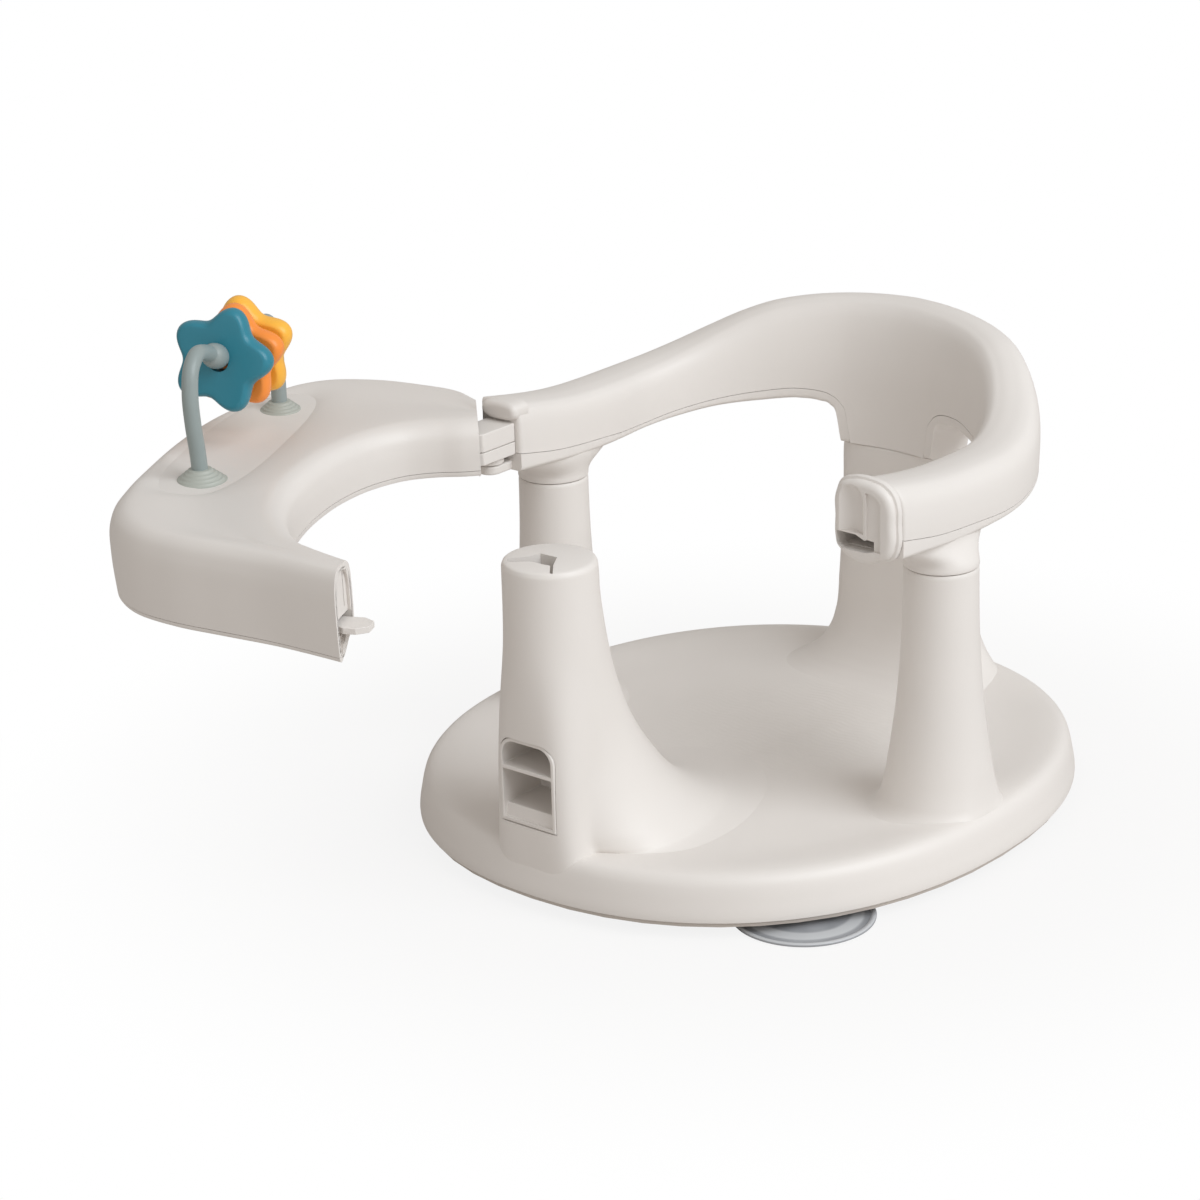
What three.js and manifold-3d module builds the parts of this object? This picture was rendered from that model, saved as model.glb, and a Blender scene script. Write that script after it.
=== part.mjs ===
// Baby bath seat with a swinging tray, standing on four suction cups.
// Millimetres, +Z up. The seat faces -Y, the child's left side is +X and the floor is z = 0.
import * as THREE from 'three';
import { mergeVertices } from 'three/addons/utils/BufferGeometryUtils.js';
import Module from 'manifold-3d';

const wasm = await Module();
wasm.setup();

// Clearances
const SEAM = 0.3; // between two mouldings that meet
const PLAY = 0.6; // between a moving piece and its seat

// Base plate
const BASE_HALF_WIDTH = 157.5;
const BASE_HALF_LENGTH = 176.4;
const BASE_POWER = 2.18; // exponent of the oval, 2 would be an ellipse
const BASE_BOTTOM = 8.2;
const BASE_TOP = 31.3;
const SEAT_TOP = 27.5;
const BASE_WALL = 3.2;
const PLATE_BOTTOM = 5.2;

// Ring round the child's back
const RING_HALF_WIDTH = 117.5;
const RING_STRAIGHT_END = 30; // where the straight arms turn into the curved back
const RING_BACK = 108; // from the end of the arms to the middle of the back
const RING_HALF_THICKNESS = 17; // of the arms
const BACK_HALF_THICKNESS = 12.5;
const ARM_END = -56;
const RING_WALL = 2.6;
const HOLLOW_REACH = 4; // how far a hollow is carried past the open edge of its shell

// Posts
const SIDE_POST = { x: RING_HALF_WIDTH + 4.7, y: -6.4, top: 153.3, radius: 18.3 };
const FRONT_POST = { y: -152.9, top: 174.2, radius: 22.9 };
const REAR_POST_TOP = 154.3;
const PANEL_BOTTOM = REAR_POST_TOP + SEAM;

// Swinging tray. Its curves are drawn shut and level, then turned to the open pose.
const HINGE = new THREE.Vector3(-RING_HALF_WIDTH + 4.5, ARM_END - 10, 190);
const OPEN_ANGLE = THREE.MathUtils.degToRad(-66);
const HINGE_LEAN = Math.atan(0.025);
const TRAY_TOP = 206;
const TRAY_WALL = 2.6;
const TRAY_VALLEY = 1.5; // dip along the middle of the top
const TROUGH_FLOOR = 200.4; // under the toy bar
// Each point is its x as a share of the ring's half width, which the tray spans, and its y.
const spanned = ([share, y]) => [share * RING_HALF_WIDTH, y];
const TRAY_OUTER = [
  [-1.166, -80], [-1.2766, -94], [-1.3447, -118], [-1.3787, -146], [-1.3362, -172], [-1.1915, -190],
  [-0.8085, -207], [-0.4511, -212], [-0.1106, -212], [0.1702, -210], [0.3745, -206], [0.5447, -197],
  [0.6809, -182], [0.7745, -160], [0.8426, -133], [0.9106, -105], [0.9787, -83], [1.0383, -65],
].map(spanned);
const TRAY_INNER = [
  [-0.7745, -64], [-0.7489, -72], [-0.7277, -83], [-0.6681, -98], [-0.5447, -110.5], [-0.3404, -120],
  [-0.1702, -123], [0.017, -123.5], [0.2043, -121], [0.3915, -114], [0.5362, -105], [0.6468, -95],
  [0.7319, -83.5], [0.7915, -74], [0.8426, -65],
].map(spanned);
const TONGUE_Z = 176.7;

// Toy bar
const TOY_FRONT = new THREE.Vector2(1.5, -175.9);
const TOY_REAR = new THREE.Vector2(-107.5, -175.9);
const ROD_RADIUS = 4;
const STAR_THICKNESS = 10.8;
const STAR_SAG = 1.1; // how far a star hangs below the middle of the rod

// Suction cups
const CUP_RADIUS = 35;
const CUP_FRONT_X = 109;
const CUP_REAR_X = 88;
const CUP_FRONT_Y = -102;
const CUP_REAR_Y = 96;

// Colours
const BEIGE = { color: 0xe3dad3, roughness: 0.5, metalness: 0 };
const BEIGE_SHADE = { color: 0xd9cfc7, roughness: 0.55, metalness: 0 };
const CUP_GREY = { color: 0xa3a5a8, roughness: 0.4, metalness: 0 };
const ROD_GREY = { color: 0x8c9898, roughness: 0.4, metalness: 0 };
const FOOT_GREY = { color: 0xacb0a8, roughness: 0.5, metalness: 0 };
const TEAL = { color: 0x32829a, roughness: 0.4, metalness: 0 };
const ORANGE = { color: 0xff9440, roughness: 0.4, metalness: 0 };
const YELLOW = { color: 0xffb83f, roughness: 0.4, metalness: 0 };
const STEEL = { color: 0xb9bcc0, roughness: 0.3, metalness: 1 };

// Solids

// Keeps only the corner positions, merged, and turns the faces outwards.
function tidy(geometry) {
  const bare = geometry.clone();
  bare.deleteAttribute('normal');
  bare.deleteAttribute('uv');
  const merged = mergeVertices(bare, 1e-4);
  const p = merged.attributes.position;
  const index = merged.index.array;
  const a = new THREE.Vector3();
  const b = new THREE.Vector3();
  const c = new THREE.Vector3();
  let volume = 0;
  for (let i = 0; i < index.length; i += 3) {
    a.fromBufferAttribute(p, index[i]);
    b.fromBufferAttribute(p, index[i + 1]);
    c.fromBufferAttribute(p, index[i + 2]);
    volume += a.dot(b.cross(c));
  }
  if (volume < 0) {
    for (let i = 0; i < index.length; i += 3) {
      const swap = index[i];
      index[i] = index[i + 1];
      index[i + 1] = swap;
    }
  }
  return merged;
}

function toSolid(geometry) {
  const g = tidy(geometry);
  const mesh = new wasm.Mesh({
    numProp: 3,
    vertProperties: Float32Array.from(g.attributes.position.array),
    triVerts: Uint32Array.from(g.index.array),
  });
  return new wasm.Manifold(mesh);
}

function toGeometry(solid) {
  const mesh = solid.getMesh();
  const g = new THREE.BufferGeometry();
  g.setAttribute('position', new THREE.BufferAttribute(Float32Array.from(mesh.vertProperties), 3));
  g.setIndex(new THREE.BufferAttribute(Uint32Array.from(mesh.triVerts), 1));
  return g;
}

function joined(geometries) {
  return geometries.map(toSolid).reduce((sum, next) => sum.add(next));
}

function cut(body, tools) {
  return tools.reduce((rest, tool) => rest.subtract(toSolid(tool)), body);
}

// A closed body through rings of equally many points, closed by a fan at each end.
function loft(rings) {
  const n = rings[0].length;
  const positions = rings.flat(2);
  const middle = (ring) => [0, 1, 2].map((k) => ring.reduce((s, p) => s + p[k], 0) / n);
  positions.push(...middle(rings[0]), ...middle(rings[rings.length - 1]));
  const first = rings.length * n;
  const index = [];
  for (let i = 0; i < n; i += 1) {
    const next = (i + 1) % n;
    index.push(first, next, i);
    index.push(first + 1, (rings.length - 1) * n + i, (rings.length - 1) * n + next);
  }
  for (let j = 0; j < rings.length - 1; j += 1) {
    for (let i = 0; i < n; i += 1) {
      const next = (i + 1) % n;
      const low = j * n;
      const high = low + n;
      index.push(low + i, low + next, high + next);
      index.push(low + i, high + next, high + i);
    }
  }
  const g = new THREE.BufferGeometry();
  g.setAttribute('position', new THREE.BufferAttribute(new Float32Array(positions), 3));
  g.setIndex(index);
  return g;
}

// A level oval ring, with its own reach and exponent to the front and to the back.
function oval(count, cx, cy, halfWidth, front, back, z, power = 2, frontPower = power) {
  const ring = [];
  for (let i = 0; i < count; i += 1) {
    const t = (2 * Math.PI * i) / count;
    const c = Math.cos(t);
    const s = Math.sin(t);
    const p = s < 0 ? frontPower : power;
    const x = Math.sign(c) * Math.abs(c) ** (2 / p);
    const y = Math.sign(s) * Math.abs(s) ** (2 / p);
    ring.push([cx + halfWidth * x, cy + (y < 0 ? front : back) * y, z]);
  }
  return ring;
}

// A round body about a vertical line, from [radius, z] pairs.
function turned(x, y, profile, count = 24) {
  return loft(profile.map(([radius, z]) => oval(count, x, y, radius, radius, radius, z)));
}

function box(x0, x1, y0, y1, z0, z1) {
  const g = new THREE.BoxGeometry(x1 - x0, y1 - y0, z1 - z0);
  return g.translate((x0 + x1) / 2, (y0 + y1) / 2, (z0 + z1) / 2);
}

// Straight interpolation in a short list of [position, value] pairs.
function along(table, at) {
  if (at <= table[0][0]) {
    return table[0][1];
  }
  for (let i = 1; i < table.length; i += 1) {
    if (at <= table[i][0]) {
      const [p0, v0] = table[i - 1];
      const [p1, v1] = table[i];
      return v0 + ((v1 - v0) * (at - p0)) / (p1 - p0);
    }
  }
  return table[table.length - 1][1];
}

// Nodes
const seat = new THREE.Group();
seat.name = 'baby_bath_seat';

function material(finish) {
  return new THREE.MeshStandardMaterial(finish);
}

function addNode(name, shape, finish) {
  const geometry = shape instanceof THREE.BufferGeometry ? tidy(shape) : toGeometry(shape);
  geometry.computeVertexNormals();
  const mesh = new THREE.Mesh(geometry, material(finish));
  mesh.name = name;
  seat.add(mesh);
}

// Base

function baseRing(inset, z) {
  const w = BASE_HALF_WIDTH - inset;
  const l = BASE_HALF_LENGTH - inset;
  return oval(52, 0, 0, w, l, l, z, BASE_POWER);
}

function baseBody() {
  return loft([
    baseRing(0.8, BASE_BOTTOM), baseRing(0, BASE_BOTTOM + 1.5), baseRing(1.2, 17), baseRing(2.6, 25),
    baseRing(4.4, 29), baseRing(7.5, BASE_TOP - 0.5), baseRing(12, BASE_TOP), baseRing(20, BASE_TOP - 0.8),
    baseRing(36, SEAT_TOP + 0.7), baseRing(56, SEAT_TOP),
  ]);
}

function baseHollow() {
  const inset = BASE_WALL;
  return loft([
    baseRing(inset + 0.8, BASE_BOTTOM - 1), baseRing(inset + 1.2, 17), baseRing(inset + 3, 24),
    baseRing(inset + 9, SEAT_TOP - 2), baseRing(60, SEAT_TOP - BASE_WALL),
  ]);
}

function sidePost(side) {
  const { x, y, top, radius } = SIDE_POST;
  const profile = [
    [34, SEAT_TOP - 1.5], [31.5, 31], [29, 37], [27.2, 45], [25.4, 56], [23.6, 68], [21.4, 84],
    [19.8, 102], [radius + 0.6, 122], [radius, top],
  ];
  return turned(side * x, y, profile);
}

function frontPost() {
  const { y, top, radius } = FRONT_POST;
  // half width, reach to the front, reach to the back, height, exponent of the front half
  const rings = [
    [84, 9, 124, SEAT_TOP - 1, 1.8], [68, 17, 115, 31, 1.8], [54, 19, 103, 36, 1.8],
    [45, 20.5, 94, 41.5, 1.8], [38, 21.5, 85, 49, 1.9], [32, 22.2, 75, 60, 2],
    [27.6, radius, 64.5, 70, 2], [25.2, radius, 56, 81.5, 2], [23.8, radius, 45, 99, 2],
    [radius, radius, 35.5, 121, 2], [radius, radius, 28, 140, 2], [radius, radius, 24, 158, 2],
    [radius, radius, radius, top - 4, 2], [radius - 0.9, radius - 0.9, radius - 0.9, top - 1.2, 2],
    [radius - 3.4, radius - 3.4, radius - 3.4, top, 2],
  ];
  return loft(rings.map(([w, f, b, z, nose]) => oval(28, 0, y, w, f, b, z, z < 100 ? 2.3 : 2, nose)));
}

// Squarish core of the front post, which holds the pocket and meets the rim of the base.
function frontCore() {
  const { y, radius } = FRONT_POST;
  // half width, reach to the front, height, exponent
  const rings = [
    [radius + 5.1, radius - 1.1, 20, 4], [radius + 2.6, radius - 0.2, 34, 4], [radius + 1.6, radius, 60, 3.9],
    [radius + 1.1, radius, 90, 3.2], [radius + 0.3, radius, 120, 2.4], [radius - 0.5, radius - 0.5, 140, 2],
  ];
  return loft(rings.map(([w, f, z, power]) => oval(28, 0, y, w, f, radius - 2.9, z, power)));
}

function rearPost() {
  // half width, front face, rear face, height
  const rings = [
    [56, 103, 168, SEAT_TOP - 1], [50, 109, 168.5, 31], [45, 114, 168, 37], [41.5, 118, 166.5, 46],
    [39, 120.5, 165, 58], [36.8, 122, 163, 78], [34.6, 123.5, 160, 104], [32.8, 124.5, 156, 132],
    [32, 125, 153, REAR_POST_TOP],
  ];
  return loft(rings.map(([w, y0, y1, z]) => {
    const middle = (y0 + y1) / 2;
    return oval(32, 0, middle, w, middle - y0, y1 - middle, z, 3.2 + (z > 58 ? (z - 58) * 0.035 : 0));
  }));
}

const POCKET_FACE = FRONT_POST.y - FRONT_POST.radius + 1.2;
const POCKET = { half: 17, bottom: 44, top: 88, back: FRONT_POST.y - 6.1, face: POCKET_FACE, wall: 1.7 };

// Front view of the pocket: square below, rounded above.
function pocketOutline(grow, radius) {
  const half = POCKET.half + grow;
  const shape = new THREE.Shape();
  shape.moveTo(-half, POCKET.bottom - grow);
  shape.lineTo(half, POCKET.bottom - grow);
  shape.lineTo(half, POCKET.top + grow - radius);
  shape.absarc(half - radius, POCKET.top + grow - radius, radius, 0, Math.PI / 2);
  shape.lineTo(-half + radius, POCKET.top + grow);
  shape.absarc(-half + radius, POCKET.top + grow - radius, radius, Math.PI / 2, Math.PI);
  return shape;
}

function pocketBlock(grow, y0, y1) {
  const options = { depth: y1 - y0, bevelEnabled: false, curveSegments: 6 };
  const g = new THREE.ExtrudeGeometry(pocketOutline(grow, 9 + grow), options);
  return g.rotateX(Math.PI / 2).translate(0, y1, 0);
}

function pocketInsert() {
  const { half, bottom, top, back, face, wall } = POCKET;
  const options = { depth: 30, bevelEnabled: false, curveSegments: 6 };
  const hole = new THREE.ExtrudeGeometry(pocketOutline(-wall, 9 - wall), options);
  const deep = hole.rotateX(Math.PI / 2).translate(0, back - wall, 0);
  const shelf = box(-half + 1, half - 1, face + 1.2, back - 1, 71, 73);
  const lip = box(-half + 0.5, half - 0.5, face, back - 1, bottom, 52);
  const body = cut(toSolid(pocketBlock(0, face, back)), [deep]);
  const blocks = body.add(toSolid(shelf)).add(toSolid(lip));
  const rim = toSolid(pocketBlock(0, face - 1, back + 1));
  return blocks.intersect(rim).subtract(toSolid(box(-half * 2, half * 2, -200, face, bottom - 5, top + 5)));
}

// Slot in the top of the front post, for the key under the tray.
function postSlot() {
  const radius = Math.hypot(HINGE.x, HINGE.y - FRONT_POST.y);
  const middle = Math.atan2(FRONT_POST.y - HINGE.y, -HINGE.x);
  const shape = new THREE.Shape();
  shape.absarc(HINGE.x, HINGE.y, radius + 2.1, middle - 0.19, middle + 0.03);
  shape.absarc(HINGE.x, HINGE.y, radius - 2.1, middle + 0.03, middle - 0.19, true);
  const g = new THREE.ExtrudeGeometry(shape, { depth: 14, bevelEnabled: false, curveSegments: 6 });
  const arc = toSolid(g.translate(0, 0, FRONT_POST.top - 12));
  const tail = new THREE.BoxGeometry(19, 5.4, 14).rotateZ(-1.05);
  return toGeometry(arc.add(toSolid(tail.translate(6.5, FRONT_POST.y - 3.5, FRONT_POST.top - 5))));
}

function baseShell() {
  const { x, y } = SIDE_POST;
  const body = joined([baseBody(), frontPost(), frontCore(), rearPost(), sidePost(1), sidePost(-1)]);
  const bores = [1, -1].map((side) => turned(side * x, y, [[14, 0], [12, 146]], 12));
  const frontBore = loft([
    oval(12, 0, FRONT_POST.y + 8, 16, 4, 26, 0), oval(12, 0, FRONT_POST.y + 8, 15, 3, 24, 60),
    oval(12, 0, FRONT_POST.y + 1, 15, 14, 14, 100), oval(12, 0, FRONT_POST.y, 14, 14, 14, 158),
  ]);
  const rearBore = box(-24, 24, 129, 149, 0, 146);
  const pocket = pocketBlock(SEAM, -200, POCKET.back + SEAM);
  return cut(body, [baseHollow(), ...bores, frontBore, rearBore, pocket, postSlot()]);
}

const CUPS = [
  ['front_left', CUP_FRONT_X, CUP_FRONT_Y], ['front_right', -CUP_REAR_X, CUP_FRONT_Y],
  ['rear_left', CUP_REAR_X, CUP_REAR_Y], ['rear_right', -CUP_REAR_X, CUP_REAR_Y],
];

const PLATE_SCREWS = [[0, -118], [0, 84], [128, 18], [-128, 18], [72, -112], [-72, -112]];

function basePlate() {
  const top = BASE_BOTTOM - SEAM;
  const plate = loft([
    baseRing(4.5, PLATE_BOTTOM), baseRing(2.2, PLATE_BOTTOM + 0.8), baseRing(2, top - 0.4),
    baseRing(2.2, top),
  ]);
  const sockets = CUPS.map(([, x, y]) => turned(x, y, [[10, 3.6], [12, 4.4], [12, 6.5]], 16));
  const holes = CUPS.map(([, x, y]) => turned(x, y, [[5.2, 2], [5.2, 12]], 12));
  const wells = PLATE_SCREWS.map(([x, y]) => turned(x, y, [[4.4, 4], [4.4, 6.3]], 10));
  const shanks = PLATE_SCREWS.map(([x, y]) => turned(x, y, [[2.2, 5], [2.2, 12]], 10));
  return cut(joined([plate, ...sockets]), [...holes, ...wells, ...shanks]);
}

// A small pan-head screw pointing up, its head at height z.
function screw(x, y, z, length) {
  const profile = [[2.4, z], [3.8, z + 0.7], [3.8, z + 2], [1.8, z + 2.01], [1.8, z + length]];
  return turned(x, y, profile, 8);
}

function suctionCup(x, y) {
  const r = CUP_RADIUS;
  const outer = turned(x, y, [
    [r, 0], [r, 1.2], [r * 0.8, 2.2], [r * 0.45, 3.1], [4.8, 3.3], [4.8, 9.6], [6.6, 10.2], [5, 12.5],
  ]);
  const hollow = turned(x, y, [[r - 1.6, -1], [r - 1.6, 0.5], [r * 0.3, 1.9]]);
  return cut(toSolid(outer), [hollow]);
}

// Ring

const QUARTER = Math.PI / 2;

// Plan of the ring: a station runs from 0 at the end of an arm to 1 at the middle of the back.
function ringPlan(side, station) {
  const straight = (RING_STRAIGHT_END - ARM_END) / 240;
  if (station < straight) {
    const y = ARM_END + (RING_STRAIGHT_END - ARM_END) * (station / straight);
    return { x: side * RING_HALF_WIDTH, y, nx: side, ny: 0, turn: 0 };
  }
  const turn = ((station - straight) / (1 - straight)) * QUARTER;
  const nx = Math.cos(turn) / RING_HALF_WIDTH;
  const ny = Math.sin(turn) / RING_BACK;
  const length = Math.hypot(nx, ny);
  return {
    x: side * RING_HALF_WIDTH * Math.cos(turn),
    y: RING_STRAIGHT_END + RING_BACK * Math.sin(turn),
    nx: (side * nx) / length,
    ny: ny / length,
    turn: THREE.MathUtils.radToDeg(turn),
  };
}

// Heights along the straight arms by y, then along the back by angle.
const TOP_ARM = [[-56, 208.4], [-36, 204.8], [-6, 200.7], [30, 199.5]];
const TOP_BACK = [[0, 199.5], [10, 200.4], [18, 202.5], [28, 207.5], [37, 214], [46, 221], [53, 225.5],
  [62, 229], [72, 231.3], [81, 232.5], [90, 233]];
const LOW_ARM = [[-56, 172], [-38, 170.5], [-12, 168.5], [12, 168], [30, 168.6]];
const LOW_BACK = [[0, 168.6], [6, 169.4], [23, 171.9], [37, 174.5], [50, 176], [62, 177.4]];
const SPLIT_ARM = [[-56, 181.6], [-26, 176.2], [7, 173.5], [30, 172.4]];
const SPLIT_BACK = [[0, 172.4], [6, 172.6], [23, 175.8], [37, 179], [50, 181.6], [62, 183.3]];

function ringHeights(plan) {
  const straight = plan.turn === 0;
  return {
    top: straight ? along(TOP_ARM, plan.y) : along(TOP_BACK, plan.turn),
    low: straight ? along(LOW_ARM, plan.y) : along(LOW_BACK, plan.turn),
    split: straight ? along(SPLIT_ARM, plan.y) : along(SPLIT_BACK, plan.turn),
  };
}

const ARCH_END = 0.909; // station where the arch has come down to the rear post
const BAND_END = 0.907; // last station of the lower shells

// Stations of one side: even steps, with closer ones where the arch comes down at the rear post.
function ringStations(last) {
  const list = [];
  for (let i = 0; i <= 16; i += 1) {
    list.push((0.8 * i) / 16);
  }
  list.push(0.84, 0.864, 0.878, 0.8865, 0.898, 0.905, BAND_END, ARCH_END);
  return list.filter((s) => s <= last + 1e-6);
}

// Arch: how far the seam and the lower edge have dropped towards the top of the rear post.
const SPLIT_DROP = [[0.8, 0], [0.864, 0.09], [0.886, 0.24], [0.898, 0.43], [0.905, 0.8], [ARCH_END, 1]];
const LOW_DROP = [[0.8, 0], [0.864, 0.14], [0.878, 0.4], [0.8865, 1]];

function dropped(table, station, z) {
  return z + (PANEL_BOTTOM - z) * along(table, station);
}

function ringHalf(plan) {
  return RING_HALF_THICKNESS + (BACK_HALF_THICKNESS - RING_HALF_THICKNESS) * Math.min(1, plan.turn / 75);
}

// Section points of the ring from the inner lower edge over the top to the outer lower edge.
// The rounded part starts at the height of the seam, and only the two edges reach down to the bottom.
function ringSection(plan, seam, bottom, top, shrink) {
  const half = ringHalf(plan) - shrink;
  const crest = along([[0, 0], [30, 2], [60, 6], [90, 8]], plan.turn);
  const rise = top - shrink - seam;
  const profile = [
    [-1, 0], [-0.99, 0.35], [-0.93, 0.62], [-0.74, 0.82], [-0.42, 0.945], [-0.02, 1],
    [0.36, 0.985], [0.7, 0.9], [0.91, 0.72], [0.99, 0.45], [1, 0.2], [0.98, 0],
  ];
  const kept = profile.filter((_, i) => shrink === 0 || i % 2 === 0 || i === profile.length - 1);
  return kept.map(([across, up]) => {
    const lean = crest * up * up;
    const s = across * half + lean;
    return [plan.x + plan.nx * s, plan.y + plan.ny * s, up === 0 ? bottom : seam + rise * up];
  });
}

function upperHalf(side, shrink) {
  const reach = shrink > 0 ? HOLLOW_REACH : 0;
  const rings = ringStations(1).map((station) => {
    const plan = ringPlan(side, shrink > 0 && station === 0 ? 0.004 : station);
    const { top, split } = ringHeights(plan);
    return ringSection(plan, split - reach, dropped(SPLIT_DROP, station, split) - reach, top, shrink);
  });
  for (let i = 1; i <= 4; i += 1) {
    const plan = ringPlan(side, ARCH_END + ((1 - ARCH_END) * i) / 4);
    const { top, split } = ringHeights(plan);
    rings.push(ringSection(plan, split - reach, PANEL_BOTTOM - reach, top, shrink));
  }
  return rings;
}

function ringBody(shrink) {
  const left = upperHalf(1, shrink);
  const right = upperHalf(-1, shrink).reverse().slice(1);
  return loft([...left, ...right]);
}

// Rounds the outer corner of the right arm away so that the tray can swing past it.
function armCorner() {
  const shape = new THREE.Shape();
  const points = [[-37, -14], [-11.5, -14], [-11.5, 6], [-15, 16], [-19, 26], [-23, 38], [-37, 46]];
  points.forEach(([x, y], i) => shape[i === 0 ? 'moveTo' : 'lineTo'](HINGE.x + x, HINGE.y + y));
  const g = new THREE.ExtrudeGeometry(shape, { depth: 80, bevelEnabled: false });
  return g.translate(0, 0, 150);
}

// Small overhang of the right arm above the link.
function hood() {
  const rings = [[ARM_END + 3, 0], [-58.4, 0.2], [-59.4, 1.2]].map(([y, inset]) => {
    const x0 = HINGE.x - 11 + inset;
    const x1 = HINGE.x + 11.5 - inset;
    const top = 208 - inset;
    return [
      [x0, y, 203], [x1, y, 203], [x1 - 0.6, y, top - 4], [x1 - 4, y, top - 1.4],
      [(x0 + x1) / 2, y, top], [x0 + 4, y, top - 1.6], [x0, y, top - 4.5],
    ];
  });
  return loft(rings);
}

function upperShell() {
  const body = toSolid(ringBody(0)).subtract(toSolid(ringBody(RING_WALL)));
  const wall = box(HINGE.x - 23, HINGE.x + 13, ARM_END, ARM_END + RING_WALL, 176, 206);
  const endWall = toSolid(wall).intersect(toSolid(ringBody(0)));
  const mouth = box(PLUG.x0 - SEAM, PLUG.x1 + SEAM, ARM_END - 1, ARM_END + 3, 170, PLUG.z1 + 3);
  return cut(body.add(endWall), [armCorner(), mouth]).add(toSolid(hood()));
}

function lowerHalf(side) {
  return ringStations(BAND_END).map((station) => {
    const plan = ringPlan(side, station);
    const { low, split } = ringHeights(plan);
    const top = dropped(SPLIT_DROP, station, split) - SEAM;
    const bottom = dropped(LOW_DROP, station, low);
    const half = ringHalf(plan);
    const edge = Math.min(1.7, (top - bottom) * 0.6);
    const profile = [
      [-1, top], [-0.985, bottom + edge], [-0.93, bottom], [0.9, bottom], [0.975, bottom + edge], [0.98, top],
    ];
    return profile.map(([across, z]) => {
      const s = across * half;
      return [plan.x + plan.nx * s, plan.y + plan.ny * s, z];
    });
  });
}

function collar(side) {
  const { x, y, top, radius } = SIDE_POST;
  return turned(side * x, y, [
    [radius - 1, top + SEAM], [radius, top + 1.2], [radius, top + 10], [radius - 2, top + 13.5],
    [radius - 7, top + 16],
  ]);
}

function lowerShell(side) {
  const band = toSolid(loft(lowerHalf(side))).add(toSolid(collar(side)));
  const roof = toSolid(ringBody(0)).add(toSolid(ringBody(RING_WALL)));
  const clear = band.subtract(roof);
  return clear;
}

// The tray's drawing frame is shut and level; this matrix leans it and swings it open.
function trayPose() {
  const out = new THREE.Matrix4().makeTranslation(HINGE.x, HINGE.y, HINGE.z);
  out.multiply(new THREE.Matrix4().makeRotationX(HINGE_LEAN));
  out.multiply(new THREE.Matrix4().makeRotationZ(OPEN_ANGLE));
  return out.multiply(new THREE.Matrix4().makeTranslation(-HINGE.x, -HINGE.y, -HINGE.z));
}

// A station of the tray: its inner and outer points and the level of its underside.
const TRAY_STATIONS = 24;
const outerCurve = new THREE.CatmullRomCurve3(TRAY_OUTER.map(([x, y]) => new THREE.Vector3(x, y, 0)));
const innerCurve = new THREE.CatmullRomCurve3(TRAY_INNER.map(([x, y]) => new THREE.Vector3(x, y, 0)));

const TRAY_LOW_INNER = [[0, 177.6], [0.82, 177.6], [0.91, 171], [1, 171]];
const TRAY_LOW_OUTER = 162;
const LOWER_BAND = 3; // height of the lower shell that shows below the seam

function trayStation(t) {
  const inner = innerCurve.getPointAt(t);
  const outer = outerCurve.getPointAt(t);
  const across = outer.clone().sub(inner);
  const width = across.length();
  return { inner, across: across.normalize(), width, low: along(TRAY_LOW_INNER, t) };
}

// A ring of the tray from profile points: edge 'i' or 'o', distance from that edge, height.
function trayRing(station, profile) {
  return profile.map(([edge, distance, z]) => {
    const s = edge === 'i' ? distance : station.width - distance;
    return [station.inner.x + station.across.x * s, station.inner.y + station.across.y * s, z];
  });
}

// Lofts a profile along the tray from t0 to t1; reach carries the end rings straight on.
function trayLoft(t0, t1, makeProfile, reach = 0) {
  const rings = [];
  const steps = Math.round(TRAY_STATIONS * (t1 - t0));
  for (let i = 0; i <= steps; i += 1) {
    const station = trayStation(t0 + ((t1 - t0) * i) / steps);
    rings.push(trayRing(station, makeProfile(station)));
  }
  if (reach > 0) {
    rings.unshift(rings[0].map(([x, y, z]) => [x, y + reach, z]));
    rings.push(rings[rings.length - 1].map(([x, y, z]) => [x, y + reach, z]));
  }
  return loft(rings);
}

function trayOuterProfile({ low, width }) {
  const top = TRAY_TOP;
  return [
    ['i', 0, low + LOWER_BAND], ['i', 0, top - 13], ['i', 1.2, top - 7], ['i', 4.2, top - 2.8],
    ['i', 8.5, top - 0.6], ['i', 13, top], ['o', width / 2, top - TRAY_VALLEY], ['o', 12, top],
    ['o', 7, top - 0.8], ['o', 3, top - 3.4], ['o', 0.8, top - 8.5], ['o', 0, top - 16], ['o', 0.2, 178],
    ['o', 1.4, TRAY_LOW_OUTER + LOWER_BAND - SEAM], ['o', 6, TRAY_LOW_OUTER + LOWER_BAND - SEAM],
    ['i', 5, low + LOWER_BAND],
  ];
}

function trayCavityProfile({ low }) {
  const top = TRAY_TOP - TRAY_VALLEY - TRAY_WALL;
  const w = TRAY_WALL;
  return [
    ['i', w, low + LOWER_BAND - 8], ['i', w, top - 8], ['i', w + 7, top], ['o', w + 7, top],
    ['o', w, top - 11], ['o', w + 1.4, TRAY_LOW_OUTER + LOWER_BAND - 8],
  ];
}

function trayLowerProfile({ low }) {
  const deck = low + LOWER_BAND - SEAM;
  const foot = TRAY_LOW_OUTER;
  const step = Math.min(low, foot + 15.6);
  return [
    ['i', 0, deck], ['i', 0, low + 1], ['i', 1, low], ['o', 14, step], ['o', 11.5, step - 2.4],
    ['o', 8, foot + 4.4], ['o', 6, foot + 1], ['o', 3.8, foot], ['o', 1.9, foot + 0.7],
    ['o', 1.4, foot + LOWER_BAND - 2 * SEAM], ['o', 4.7, foot + LOWER_BAND - 2 * SEAM],
    ['o', 6.4, foot + 6.6], ['o', 9.6, deck - 3.6], ['o', 12.5, deck],
  ];
}

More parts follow.
